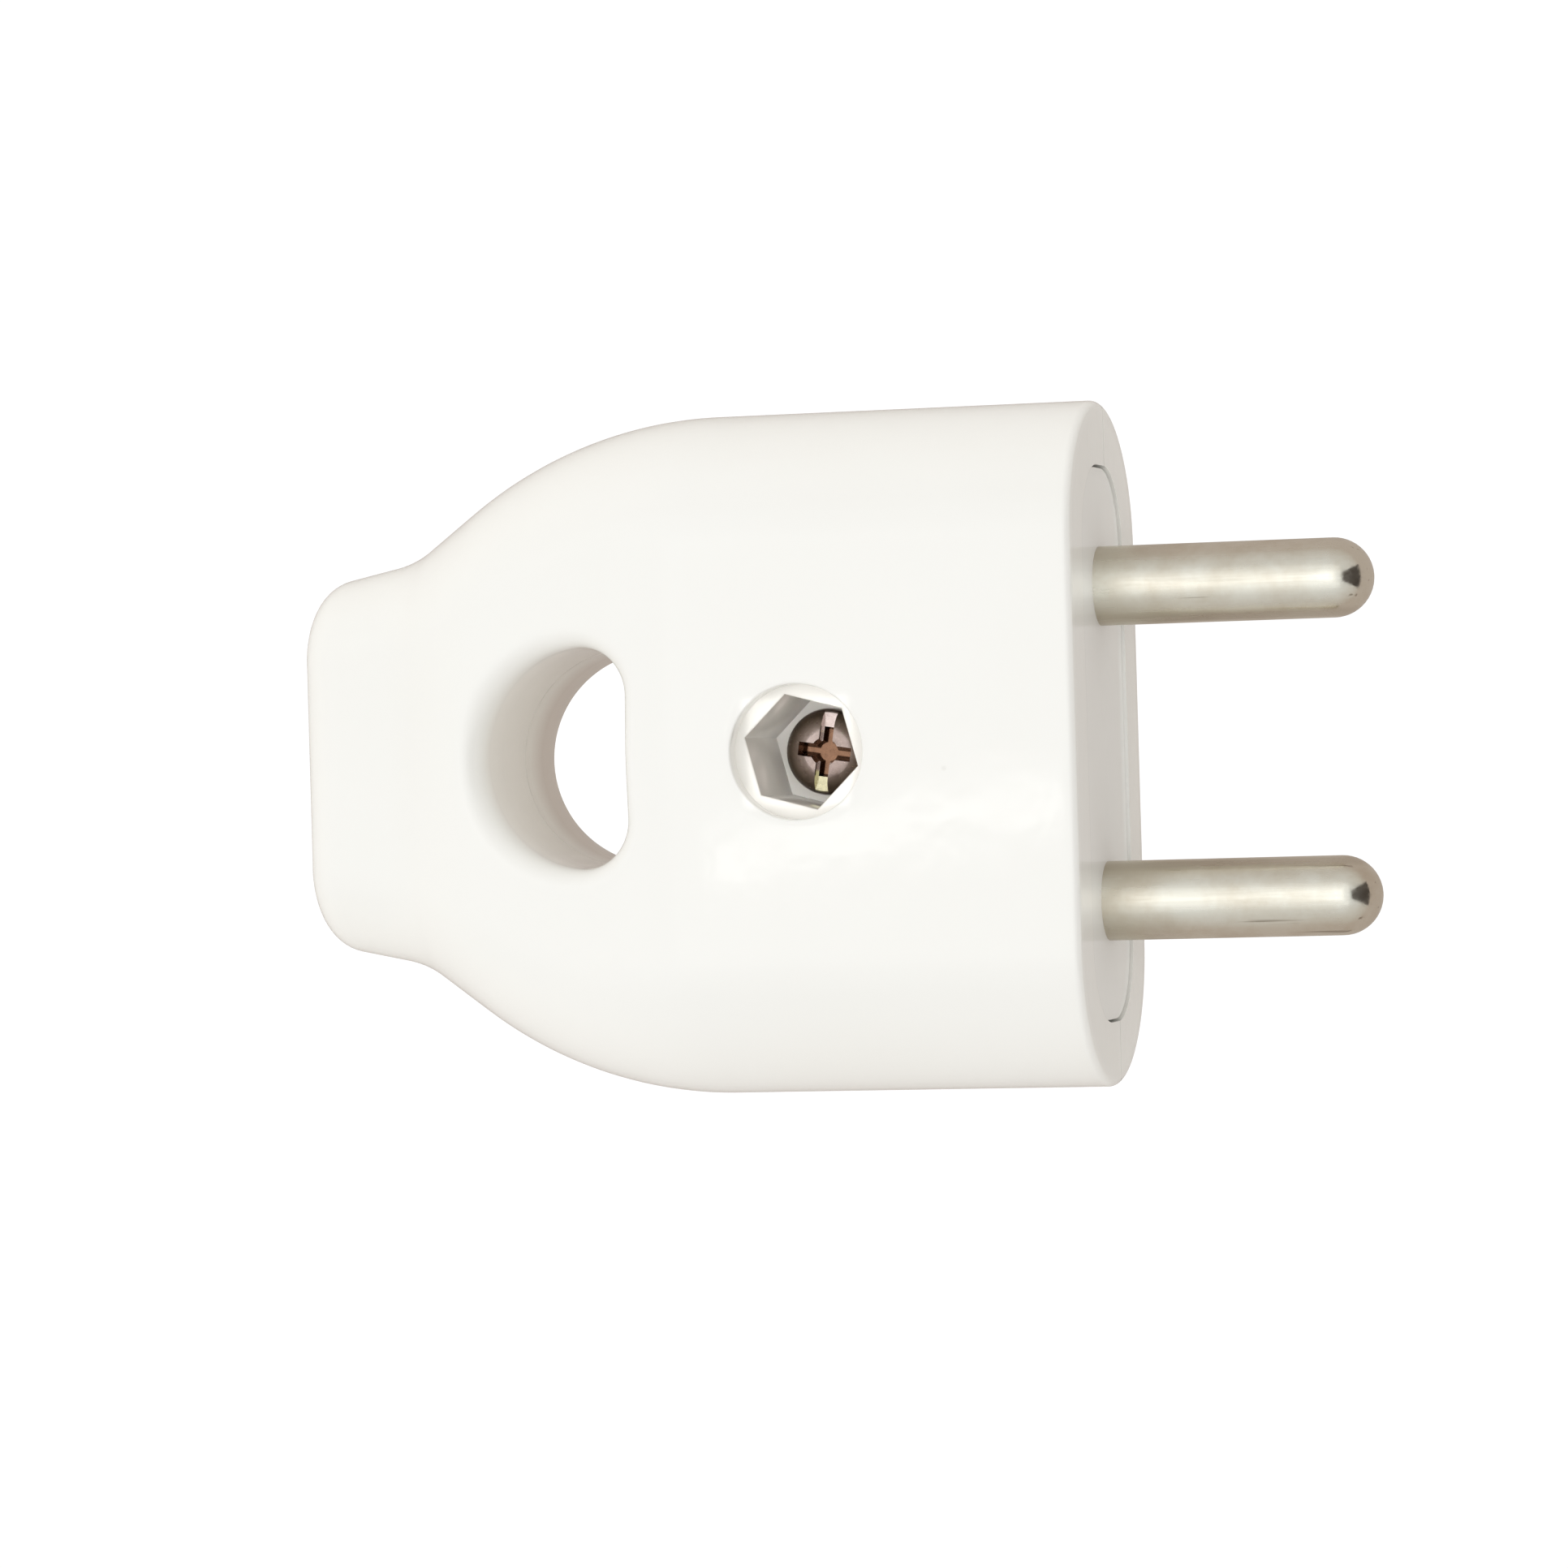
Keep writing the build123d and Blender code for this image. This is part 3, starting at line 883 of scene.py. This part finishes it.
def worn_plate(graph: Graph, given: Outputs) -> dict[str, Socket]:
    """Plated metal: fine lines along the work, stains of the plating, small pits and a worn tip.

    The lines and pits are noises drawn out along X by the Draw factor. The tip is a mask that
    rises over the last two millimetres before a place along X.

    Args:
        graph: Graph of the group.
        given: The group's inputs, the factor Draw and the tip's place Tip.

    Returns:
        The group's outputs Line, Stain, Pit and Tip, all from 0 to 1.
    """
    place = graph.coords()
    x, y, z = graph.axes(place)
    parts = {"X": graph.product(x, given["Draw"]), "Y": y, "Z": z}
    drawn = graph.add("CombineXYZ", parts).outputs["Vector"]
    return {
        "Line": graph.grain(drawn, WORK_LINES),
        "Stain": graph.grain(place, STAINS),
        "Pit": graph.grain(drawn, PITS),
        "Tip": graph.band(graph.reckon("SUBTRACT", x, given["Tip"]), WORN_TIP_MM),
    }


class Effect(Enum):
    """Shader groups that several finishes share, each by the function that makes it."""

    SKIN = member(moulded_skin)
    MARKS = member(rub_marks)
    PLATE = member(worn_plate)

    def group(self, inputs: dict[str, float]) -> Shader:
        """The effect's node group, built on first use.

        Args:
            inputs: The group's inputs by name, with their first values.

        Returns:
            The group.
        """
        name, kind = self.value.__name__, "NodeSocketFloat"
        group = bpy.data.node_groups.get(name)
        if group is None:
            group = bpy.data.node_groups.new(name, "ShaderNodeTree")
            for label, value in inputs.items():
                socket = group.interface.new_socket(name=label, in_out="INPUT", socket_type=kind)
                socket.default_value = value
            graph = Graph(group)
            made = self.value(graph, group.nodes.new("NodeGroupInput").outputs)
            for label in made:
                group.interface.new_socket(name=label, in_out="OUTPUT", socket_type=kind)
            graph.give(group.nodes.new("NodeGroupOutput"), made)
        return group

    def place(self, graph: Graph, inputs: dict[str, float]) -> Outputs:
        """Outputs of the effect's group, put into a material's graph with the given inputs."""
        return graph.add("Group", inputs, node_tree=self.group(inputs)).outputs


def new_material(name: str) -> tuple[bpy.types.Material, Graph, Node]:
    """Makes a material.

    Args:
        name: Name of the material.

    Returns:
        The material, its graph and its Principled shader.
    """
    made = bpy.data.materials.new(name)
    made.use_nodes = True
    return made, Graph(made.node_tree), made.node_tree.nodes["Principled BSDF"]


@dataclass(frozen=True)
class Finish:
    """What every finish has: a material's name and the record's slot that it stands for."""

    name: str
    slot: str

    def material(self) -> bpy.types.Material:
        """The finish's material, built on first use.

        Returns:
            The material.
        """
        made = bpy.data.materials.get(self.name)
        if made is None:
            made, graph, shader = new_material(self.name)
            graph.give(shader, self.paint(graph))
        return made

    def paint(self, graph: Graph) -> dict[str, Given]:
        """Inputs of the shader, which each kind of finish makes in its own way."""
        raise NotImplementedError

    def marked(self, graph: Graph, colour: Socket) -> Socket:
        """The colour with painted light and shade in the finish's own places; a plain one has none.
        """
        return colour

    def dress(self, piece: bpy.types.Object) -> None:
        """Gives a piece this finish alone."""
        piece.data.materials.clear()
        piece.data.materials.append(self.material())


@dataclass(frozen=True)
class MouldedPlastic(Finish):
    """Injection-moulded plastic with a clear gloss."""

    colour: Triple = (0.9, 0.9, 0.88)
    shade: Triple = (0.86, 0.86, 0.83)
    speck: Triple = (0.55, 0.52, 0.46)
    gloss: Pair = (0.04, 0.08)
    ripple: float = 0.05
    ripple_mm: float = 0.2
    specks: float = 0.25
    scratches: float = 0.3
    scratch_rough: float = 0.25
    ior: float = 1.49

    def paint(self, graph: Graph) -> dict[str, Given]:
        """Tone and specks in the colour, gloss and scratches in the roughness, and the ripple.

        Args:
            graph: Graph of the material.

        Returns:
            Inputs of the shader.
        """
        skin = Effect.SKIN.place(graph, {})
        marks = Effect.MARKS.place(graph, {"Scratches": self.scratches, "Specks": self.specks})
        shades = ((skin["Tone"], self.shade), (marks["Speck"], self.speck))
        rough = graph.remap(skin["Gloss"], RISING, self.gloss)
        worn = graph.product(marks["Scratch"], self.scratch_rough)
        return {
            "Base Color": self.marked(graph, graph.layers(self.colour, *shades)),
            "Roughness": graph.reckon("ADD", rough, worn),
            "IOR": self.ior,
            "Normal": graph.bump(skin["Height"], self.ripple, self.ripple_mm),
        }


@dataclass(frozen=True)
class HousingPlastic(MouldedPlastic):
    """The housing's plastic, with painted light and painted shade in its pockets and its finger
    hole.
    """

    axis_mm: float = -16.95
    reach_mm: Pair = (4.0, 4.15)
    level_mm: Pair = (8.7, 9.4)
    mouth_mm: Pair = (8.46, 8.56)
    wall_mm: Pair = (4.0, 8.5)
    # lighter colour painted as light in the recess, the pocket and on the finger hole's wall
    painted_light: Triple = (0.955, 0.933, 0.882)
    # darker colour painted as shade on the pockets' walls
    painted_wall_shade: Triple = (0.7, 0.665, 0.62)
    hole_mm: float = -30.4
    hole_reach_mm: Pair = (7.2, 7.6)
    shaft_mm: Pair = (6.0, 7.4)
    deep_mm: Pair = (-4.8, -2.2)
    rear_mm: Pair = (-8.9, -8.2)
    # darker colour painted as shade on the finger hole's rear half
    painted_hole_shade: Triple = (0.78, 0.715, 0.66)

    def marked(self, graph: Graph, colour: Socket) -> Socket:
        """The moulding's colour with painted light and shade in the pockets and the finger hole.

        Near the screw's axis and below the face a lighter tone is painted as light. On the
        pockets' walls painted shade comes over it, fully at the mouth and less with depth. The wall
        of the finger hole gets the painted light too, down to the rear rim, and painted shade comes
        over its rear half.

        Args:
            graph: Graph of the material.
            colour: Colour of the moulding.

        Returns:
            The marked colour's socket.
        """
        x, y, z = graph.axes(graph.coords())
        level = graph.reckon("ABSOLUTE", z)
        from_axis = graph.reach(graph.reckon("SUBTRACT", x, self.axis_mm * MM), y)
        from_hole = graph.reach(graph.reckon("SUBTRACT", x, self.hole_mm * MM), y)
        near = graph.band(from_axis, self.reach_mm, FALLING)
        below = graph.band(level, self.level_mm, FALLING)
        inside = graph.band(level, self.mouth_mm, FALLING)
        high = graph.band(level, self.wall_mm)
        within = graph.band(from_hole, self.hole_reach_mm, FALLING)
        shaft = graph.band(z, self.shaft_mm, FALLING)
        deep_shade = graph.band(z, self.deep_mm, FALLING)
        rear = graph.band(z, self.rear_mm)
        return graph.layers(
            colour,
            # painted light in the recess and the screw pocket
            (graph.product(near, below), self.painted_light),
            # painted shade on the pockets' walls, strongest at the mouth and weaker with depth
            (graph.product(near, inside, high), self.painted_wall_shade),
            # painted light on the finger hole's wall down to the rear rim
            (graph.product(within, shaft, rear), self.painted_light),
            # painted shade on the rear half of the finger hole's wall
            (graph.product(within, deep_shade, rear), self.painted_hole_shade),
        )


@dataclass(frozen=True)
class PlatedMetal(Finish):
    """Metal with a thin plating that has stained and worn."""

    colour: Triple = (0.87, 0.845, 0.745)
    stain: Triple = (0.75, 0.69, 0.57)
    pit: Triple = (0.4, 0.35, 0.28)
    gloss: Pair = (0.26, 0.4)
    gloss_cut: Pair = (0.35, 0.65)
    tip_gloss: float = 0.1
    tip_mm: float = 1000.0
    draw: float = 0.04
    lines: float = 0.08
    lines_mm: float = 0.05
    metallic: float = 1.0

    def paint(self, graph: Graph) -> dict[str, Given]:
        """Stains and pits in the colour, lines in the roughness and the normal, a smoother tip.

        Args:
            graph: Graph of the material.

        Returns:
            Inputs of the shader.
        """
        worn = Effect.PLATE.place(graph, {"Draw": self.draw, "Tip": self.tip_mm * MM})
        shades = ((worn["Stain"], self.stain), (worn["Pit"], self.pit))
        rough = graph.remap(worn["Line"], self.gloss_cut, self.gloss)
        smooth = graph.product(worn["Tip"], self.gloss[0] - self.tip_gloss)
        return {
            "Base Color": self.marked(graph, graph.layers(self.colour, *shades)),
            "Roughness": graph.reckon("SUBTRACT", rough, smooth),
            "Metallic": self.metallic,
            "Normal": graph.bump(worn["Line"], self.lines, self.lines_mm),
        }


@dataclass(frozen=True)
class ContactPin(PlatedMetal):
    """Plated pin with painted dark reflections on its root's flanks and along its inner side."""

    axis_mm: float = 9.5
    flank_mm: Pair = (0.6, 1.6)
    root_mm: Pair = (0.5, 5.0)
    root_shares: Pair = (0.8, 0.0)
    line_outer_mm: Pair = (-2.37, -2.25)
    line_inner_mm: Pair = (-2.0, -1.7)
    fade_mm: Pair = (3.0, 12.0)
    fade_shares: Pair = (1.0, 0.4)
    # darker colour painted as the reflection of shade
    painted_dark_reflection: Triple = (0.56, 0.515, 0.42)

    def marked(self, graph: Graph, colour: Socket) -> Socket:
        """The plating's colour with painted dark reflections on the root's flanks and inner side.

        Args:
            graph: Graph of the material.
            colour: Colour of the plating.

        Returns:
            The marked colour's socket.
        """
        x, y, _ = graph.axes(graph.coords())
        outward = graph.reckon("SUBTRACT", graph.reckon("ABSOLUTE", y), self.axis_mm * MM)
        flank = graph.band(graph.reckon("ABSOLUTE", outward), self.flank_mm)
        root = graph.band(x, self.root_mm, self.root_shares)
        past = graph.band(outward, self.line_outer_mm)
        short = graph.band(outward, self.line_inner_mm, FALLING)
        fade = graph.band(x, self.fade_mm, self.fade_shares)
        return graph.layers(
            colour,
            # painted dark reflection on the flanks near the root
            (graph.product(flank, root), self.painted_dark_reflection),
            # painted dark reflection along the inner side, which faces the other pin
            (graph.product(past, short, fade), self.painted_dark_reflection),
        )


@dataclass(frozen=True)
class PaintedLightScrew(PlatedMetal):
    """Plated screw with painted highlights at its slot ends and painted shade on rim and recess."""

    axis_mm: float = -16.95
    top_mm: float = 2.9
    turn_deg: float = 81.0
    rim_mm: Pair = (1.5, 2.2)
    slot_side_mm: Pair = (0.4, 0.43)
    slot_end_mm: Pair = (1.1, 1.3)
    deep_mm: Pair = (-0.8, -0.64)
    bottom_mm: Pair = (-1.28, -1.15)
    # dark colour painted as a reflection of shade on the head's rim
    rim: Triple = (0.18, 0.135, 0.1)
    # bright colours painted as highlights at the slot's ends
    slot_end_highlight: Triple = (0.6, 0.55, 0.36)
    upper_end_highlight: Triple = (0.6, 0.49, 0.455)
    # dark colours painted as shade in the recess
    deep_shade: Triple = (0.085, 0.046, 0.025)
    bottom: Triple = (0.24, 0.13, 0.08)

    def marked(self, graph: Graph, colour: Socket) -> Socket:
        """The plating's colour with painted light and shade over the head.

        Places are turned about the screw's axis until the slot lies along X. The rim is where the
        distance from the axis is large, the slot's ends where the place along the slot is far out
        and inside the slot's width, with a tone of its own at the end towards X. The deep part
        lies below the slot's floor, and the bottom on the recess's own floor.

        Args:
            graph: Graph of the material.
            colour: Colour of the plating.

        Returns:
            The marked colour's socket.
        """
        axis, angle = self.axis_mm * MM, math.radians(self.turn_deg)
        inputs = {"Vector": graph.coords(), "Center": (axis, 0.0, 0.0), "Angle": angle}
        turned = graph.add("VectorRotate", inputs, rotation_type="Z_AXIS", invert=True)
        x, across, z = graph.axes(turned.outputs["Vector"])
        along = graph.reckon("SUBTRACT", x, axis)
        below = graph.reckon("SUBTRACT", z, self.top_mm * MM)
        inside = graph.band(graph.reckon("ABSOLUTE", across), self.slot_side_mm, FALLING)
        both_ends = graph.band(graph.reckon("ABSOLUTE", along), self.slot_end_mm)
        upper_end = graph.band(along, self.slot_end_mm)
        return graph.layers(
            colour,
            # painted dark reflection on the head's rim
            (graph.band(graph.reach(along, across), self.rim_mm), self.rim),
            # painted highlights at the slot's ends
            (graph.product(inside, both_ends), self.slot_end_highlight),
            (graph.product(inside, upper_end), self.upper_end_highlight),
            # painted shade in the recess, below the slot's floor and on the recess's own floor
            (graph.band(below, self.deep_mm, FALLING), self.deep_shade),
            (graph.band(below, self.bottom_mm, FALLING), self.bottom),
        )


HOUSING_WHITE = HousingPlastic(
    "housing_white", "shell_plastic", colour=(0.895, 0.888, 0.852), shade=(0.884, 0.876, 0.836)
)
CARRIER_WHITE = MouldedPlastic(
    "carrier_white", "carrier_plastic", (0.88, 0.875, 0.845), gloss=(0.015, 0.03), ripple=0.02
)
PIN_NICKEL = ContactPin("pin_nickel", "pin_metal", tip_mm=15.2)
SCREW_ZINC = PlatedMetal(
    "screw_zinc",
    "screw_steel",
    colour=(0.5, 0.36, 0.25),
    stain=(0.3, 0.2, 0.12),
    gloss=(0.2, 0.34),
    draw=1.0,
)
HEAD_ZINC = PaintedLightScrew(
    "head_zinc",
    "screw_steel",
    colour=(0.45, 0.365, 0.33),
    stain=(0.31, 0.235, 0.205),
    gloss=(0.16, 0.28),
    draw=1.0,
)
NUT_ZINC = PlatedMetal(
    "nut_zinc",
    "nut_steel",
    colour=(0.7, 0.67, 0.6),
    stain=(0.5, 0.45, 0.38),
    gloss=(0.22, 0.36),
    draw=1.0,
)
STRAP_PLASTIC = MouldedPlastic(
    "strap_plastic", "strap_plastic", (0.84, 0.83, 0.79), gloss=(0.35, 0.5), ripple=0.12
)


@dataclass
class Housing:
    """Both moulded halves."""

    front: HousingShell
    rear: HousingShell

    def build(self) -> list[bpy.types.Object]:
        """Builds the front half and then the rear half."""
        return [self.front.build(HOUSING_WHITE), self.rear.build(HOUSING_WHITE)]


@dataclass
class KeptNodes:
    """CAD nodes that keep their own meshes and get a finish."""

    finishes: dict[str, Finish]

    def build(self) -> list[bpy.types.Object]:
        """Dresses each node.

        Returns:
            The nodes' objects.
        """
        made = []
        for node, finish in self.finishes.items():
            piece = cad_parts[node]
            finish.dress(piece)
            made.append(piece)
        return made


class Role(Enum):
    """What a lamp does: light matt surfaces, or be mirrored in glossy ones."""

    LIGHT = "light"
    MIRROR = "mirror"


@dataclass(frozen=True)
class Lamp:
    """A rectangular soft light, in millimetres."""

    name: str
    role: Role
    place: Triple
    size: Pair
    radiance: float
    aim: Triple = (-20.0, 0.0, 0.0)
    along: Triple = (1.0, 0.0, 0.0)
    spread_deg: float = 180.0


LAMPS = (
    Lamp("softbox", Role.MIRROR, (-80.0, 20.0, 600.0), (300.0, 300.0), 0.3),
    Lamp("softbox_edge", Role.MIRROR, (-80.0, 20.0, 601.0), (480.0, 480.0), 0.16),
    Lamp("softbox_halo", Role.MIRROR, (-80.0, 20.0, 602.0), (840.0, 840.0), 0.2),
    Lamp("strip", Role.MIRROR, (-130.7, -7.6, 500.0), (52.0, 5.0), 3.0, along=(50.1, 8.2, 0.0)),
    Lamp("top_side", Role.LIGHT, (-20.0, 600.0, 120.0), (600.0, 400.0), 1.1),
    Lamp("low_side", Role.LIGHT, (-20.0, -600.0, 120.0), (600.0, 400.0), 0.75),
    Lamp("tail_side", Role.LIGHT, (-620.0, 0.0, 150.0), (400.0, 300.0), 1.3),
    Lamp("fill", Role.LIGHT, (300.0, 0.0, 520.0), (300.0, 300.0), 2.05),
    Lamp("back", Role.LIGHT, (-340.0, 0.0, 460.0), (300.0, 300.0), 2.25, along=(0.0, 1.0, 0.0)),
    Lamp(
        "grid", Role.LIGHT, (-16.95, 0.0, 60.0), (6.4, 6.4), 0.26,
        aim=(-16.95, 0.0, 0.0), spread_deg=1.0,
    ),
)


@dataclass
class Studio:
    """Pale floor, soft light and the camera."""

    floor_z: float = -9.92
    floor_side: float = 3000.0
    floor_corners: tuple[Pair, ...] = ((-1.0, -1.0), (1.0, -1.0), (1.0, 1.0), (-1.0, 1.0))
    floor_colour: Triple = (0.8, 0.8, 0.79)
    floor_rough: float = 0.8
    floor_specular: float = 0.1
    floor_seen: Triple = (1.05, 1.05, 1.05)
    floor_mirrored: Triple = (0.47, 0.41, 0.37)
    glow_colour: Triple = (1.0, 0.98, 0.95)
    glow_mm: Pair = (-10.0, 30.0)
    glow_strengths: Pair = (0.35, 0.0)
    horizon: Triple = (0.5, 0.455, 0.415)
    zenith: Triple = (0.73, 0.745, 0.755)
    sky_heights: Pair = (0.0, 0.9)
    lamps: tuple[Lamp, ...] = LAMPS
    card_mm: Triple = (367.0, 12.0, 188.0)
    card_side: float = 460.0
    card_corners: tuple[Pair, ...] = ((-1.0, -1.0), (1.0, -1.0), (0.4, 1.0), (-0.4, 1.0))
    card_colour: Triple = (0.06, 0.05, 0.045)
    tips_mm: Triple = (15.0, 0.0, 2.0)
    camera_mm: Triple = (73.08, -2.51, 360.0)
    aim_mm: Triple = (-20.27, -1.88, 0.0)
    roll: float = -0.0288
    focal_px: float = 7489.6
    image_px: float = 1932.0
    sensor_mm: float = 36.0
    nearest_mm: float = 10.0

    def camera(self) -> None:
        """Camera at the photograph's place, turned about its own axis by the roll."""
        place = Vector(self.camera_mm)
        ahead = (Vector(self.aim_mm) - place).normalized()
        right = ahead.cross(Vector((0.0, 1.0, 0.0))).normalized()
        up = right.cross(ahead)
        cosine, sine = math.cos(self.roll), math.sin(self.roll)
        data = bpy.data.cameras.new("camera")
        data.sensor_width = self.sensor_mm
        data.lens = self.focal_px * self.sensor_mm / self.image_px
        data.clip_start = self.nearest_mm * MM
        camera = add_object("camera", data)
        turned = (cosine * right + sine * up, cosine * up - sine * right)
        camera.matrix_world = stance(place, *turned, ahead)
        bpy.context.scene.camera = camera

    def sheet(
        self, name: str, corners: list[Vector], material: bpy.types.Material
    ) -> bpy.types.Object:
        """A flat staged sheet.

        Args:
            name: Name of the sheet.
            corners: Its four corners, in millimetres.
            material: Its material.

        Returns:
            The sheet's object.
        """
        mesh = bpy.data.meshes.new(name)
        mesh.from_pydata([tuple(corner * MM) for corner in corners], [], [(0, 1, 2, 3)])
        mesh.materials.append(material)
        piece = add_object(name, mesh)
        return piece

    def floor(self) -> None:
        """Flat pale floor: white to the camera, softer in mirrors, and lit on the tail side."""
        material, graph, shader = new_material("floor_pale")
        x, _, _ = graph.axes(graph.coords())
        inputs = {
            "Base Color": self.floor_colour,
            "Roughness": self.floor_rough,
            "Specular IOR Level": self.floor_specular,
            "Emission Color": self.glow_colour,
            "Emission Strength": graph.band(x, self.glow_mm, self.glow_strengths),
        }
        graph.give(shader, inputs)
        rays = {"Is Glossy Ray": self.floor_mirrored, "Is Camera Ray": self.floor_seen}
        path = graph.add("LightPath", {})
        last = shader.outputs["BSDF"]
        for ray, colour in rays.items():
            plain = graph.add("Emission", {"Color": colour}).outputs["Emission"]
            choice = {"Fac": path.outputs[ray], 1: last, 2: plain}
            last = graph.add("MixShader", choice).outputs["Shader"]
        graph.give(graph.tree.nodes["Material Output"], {"Surface": last})
        half, z = self.floor_side / 2, self.floor_z
        corners = [Vector((a * half, b * half, z)) for a, b in self.floor_corners]
        self.sheet("floor", corners, material)

    def card(self) -> None:
        """Dark card in front of the pins, which only their domes mirror."""
        material, graph, shader = new_material("card_dark")
        graph.give(shader, {"Base Color": self.card_colour})
        middle = Vector(self.card_mm)
        ahead = (Vector(self.tips_mm) - middle).normalized()
        right = ahead.cross(Vector((0.0, 0.0, 1.0))).normalized() * self.card_side / 2
        up = right.cross(ahead)
        corners = [middle + a * right + b * up for a, b in self.card_corners]
        piece = self.sheet("card", corners, material)
        piece.visible_camera = piece.visible_diffuse = piece.visible_shadow = False

    def area(self, lamp: Lamp) -> None:
        """Hangs a rectangular soft light, with its long side as the lamp is turned.

        Args:
            lamp: The light's place, size and radiance.
        """
        data = bpy.data.lights.new(lamp.name, "AREA")
        data.shape = "RECTANGLE"
        data.size, data.size_y = lamp.size[0] * MM, lamp.size[1] * MM
        data.energy = lamp.radiance * math.pi * data.size * data.size_y
        data.spread = math.radians(lamp.spread_deg)
        place, along = Vector(lamp.place), Vector(lamp.along)
        ahead = (Vector(lamp.aim) - place).normalized()
        along = (along - along.project(ahead)).normalized()
        light = add_object(lamp.name, data)
        light.matrix_world = stance(place, along, along.cross(ahead), ahead)
        light.visible_camera = False
        light.visible_glossy = lamp.role is Role.MIRROR
        light.visible_diffuse = lamp.role is Role.LIGHT

    def sky(self) -> None:
        """World that is bright overhead and dimmer towards the horizon."""
        world = bpy.data.worlds.new("sky")
        world.use_nodes = True
        graph = Graph(world.node_tree)
        _, _, height = graph.axes(graph.add("TexCoord", {}).outputs["Generated"])
        colour = graph.blend(graph.remap(height, self.sky_heights), self.horizon, self.zenith)
        graph.give(graph.tree.nodes["Background"], {"Color": colour})
        bpy.context.scene.world = world

    def build(self) -> None:
        """Sets up the sky, the floor, the card, the lights and the camera, and plain colours."""
        bpy.context.scene.view_settings.view_transform = "Standard"
        self.sky()
        self.floor()
        self.card()
        for lamp in self.lamps:
            self.area(lamp)
        self.camera()


def main() -> None:
    """Builds the plug piece by piece, then the studio."""
    logging.basicConfig(level=logging.INFO, format="%(name)s: %(message)s")
    screw_pocket = ScrewPocket(recess_radius=4.05, recess_depth=1.3)
    nut_pocket = ScrewPocket(flats=5.7, floor=3.4)
    worn_hole = FingerHole(rims=(0.6, 1.8), rim_drop=1.25)
    housing = Housing(
        HousingShell("front_housing", "front_shell", Half.FRONT, screw_pocket, hole=worn_hole),
        HousingShell("rear_housing", "rear_shell", Half.REAR, nut_pocket),
    )
    kept = KeptNodes(
        {
            "pin_carrier": CARRIER_WHITE,
            "left_pin": PIN_NICKEL,
            "right_pin": PIN_NICKEL,
            "housing_screw": HEAD_ZINC,
            "housing_nut": NUT_ZINC,
            "left_terminal_screw": SCREW_ZINC,
            "right_terminal_screw": SCREW_ZINC,
            "left_clamp_screw": SCREW_ZINC,
            "right_clamp_screw": SCREW_ZINC,
            "cord_saddle": STRAP_PLASTIC,
        }
    )
    for group in (housing, kept):
        for piece in group.build():
            LOG.info("%s has %d faces", piece.name, len(piece.data.polygons))
    Studio().build()


if __name__ == "__main__":
    main()
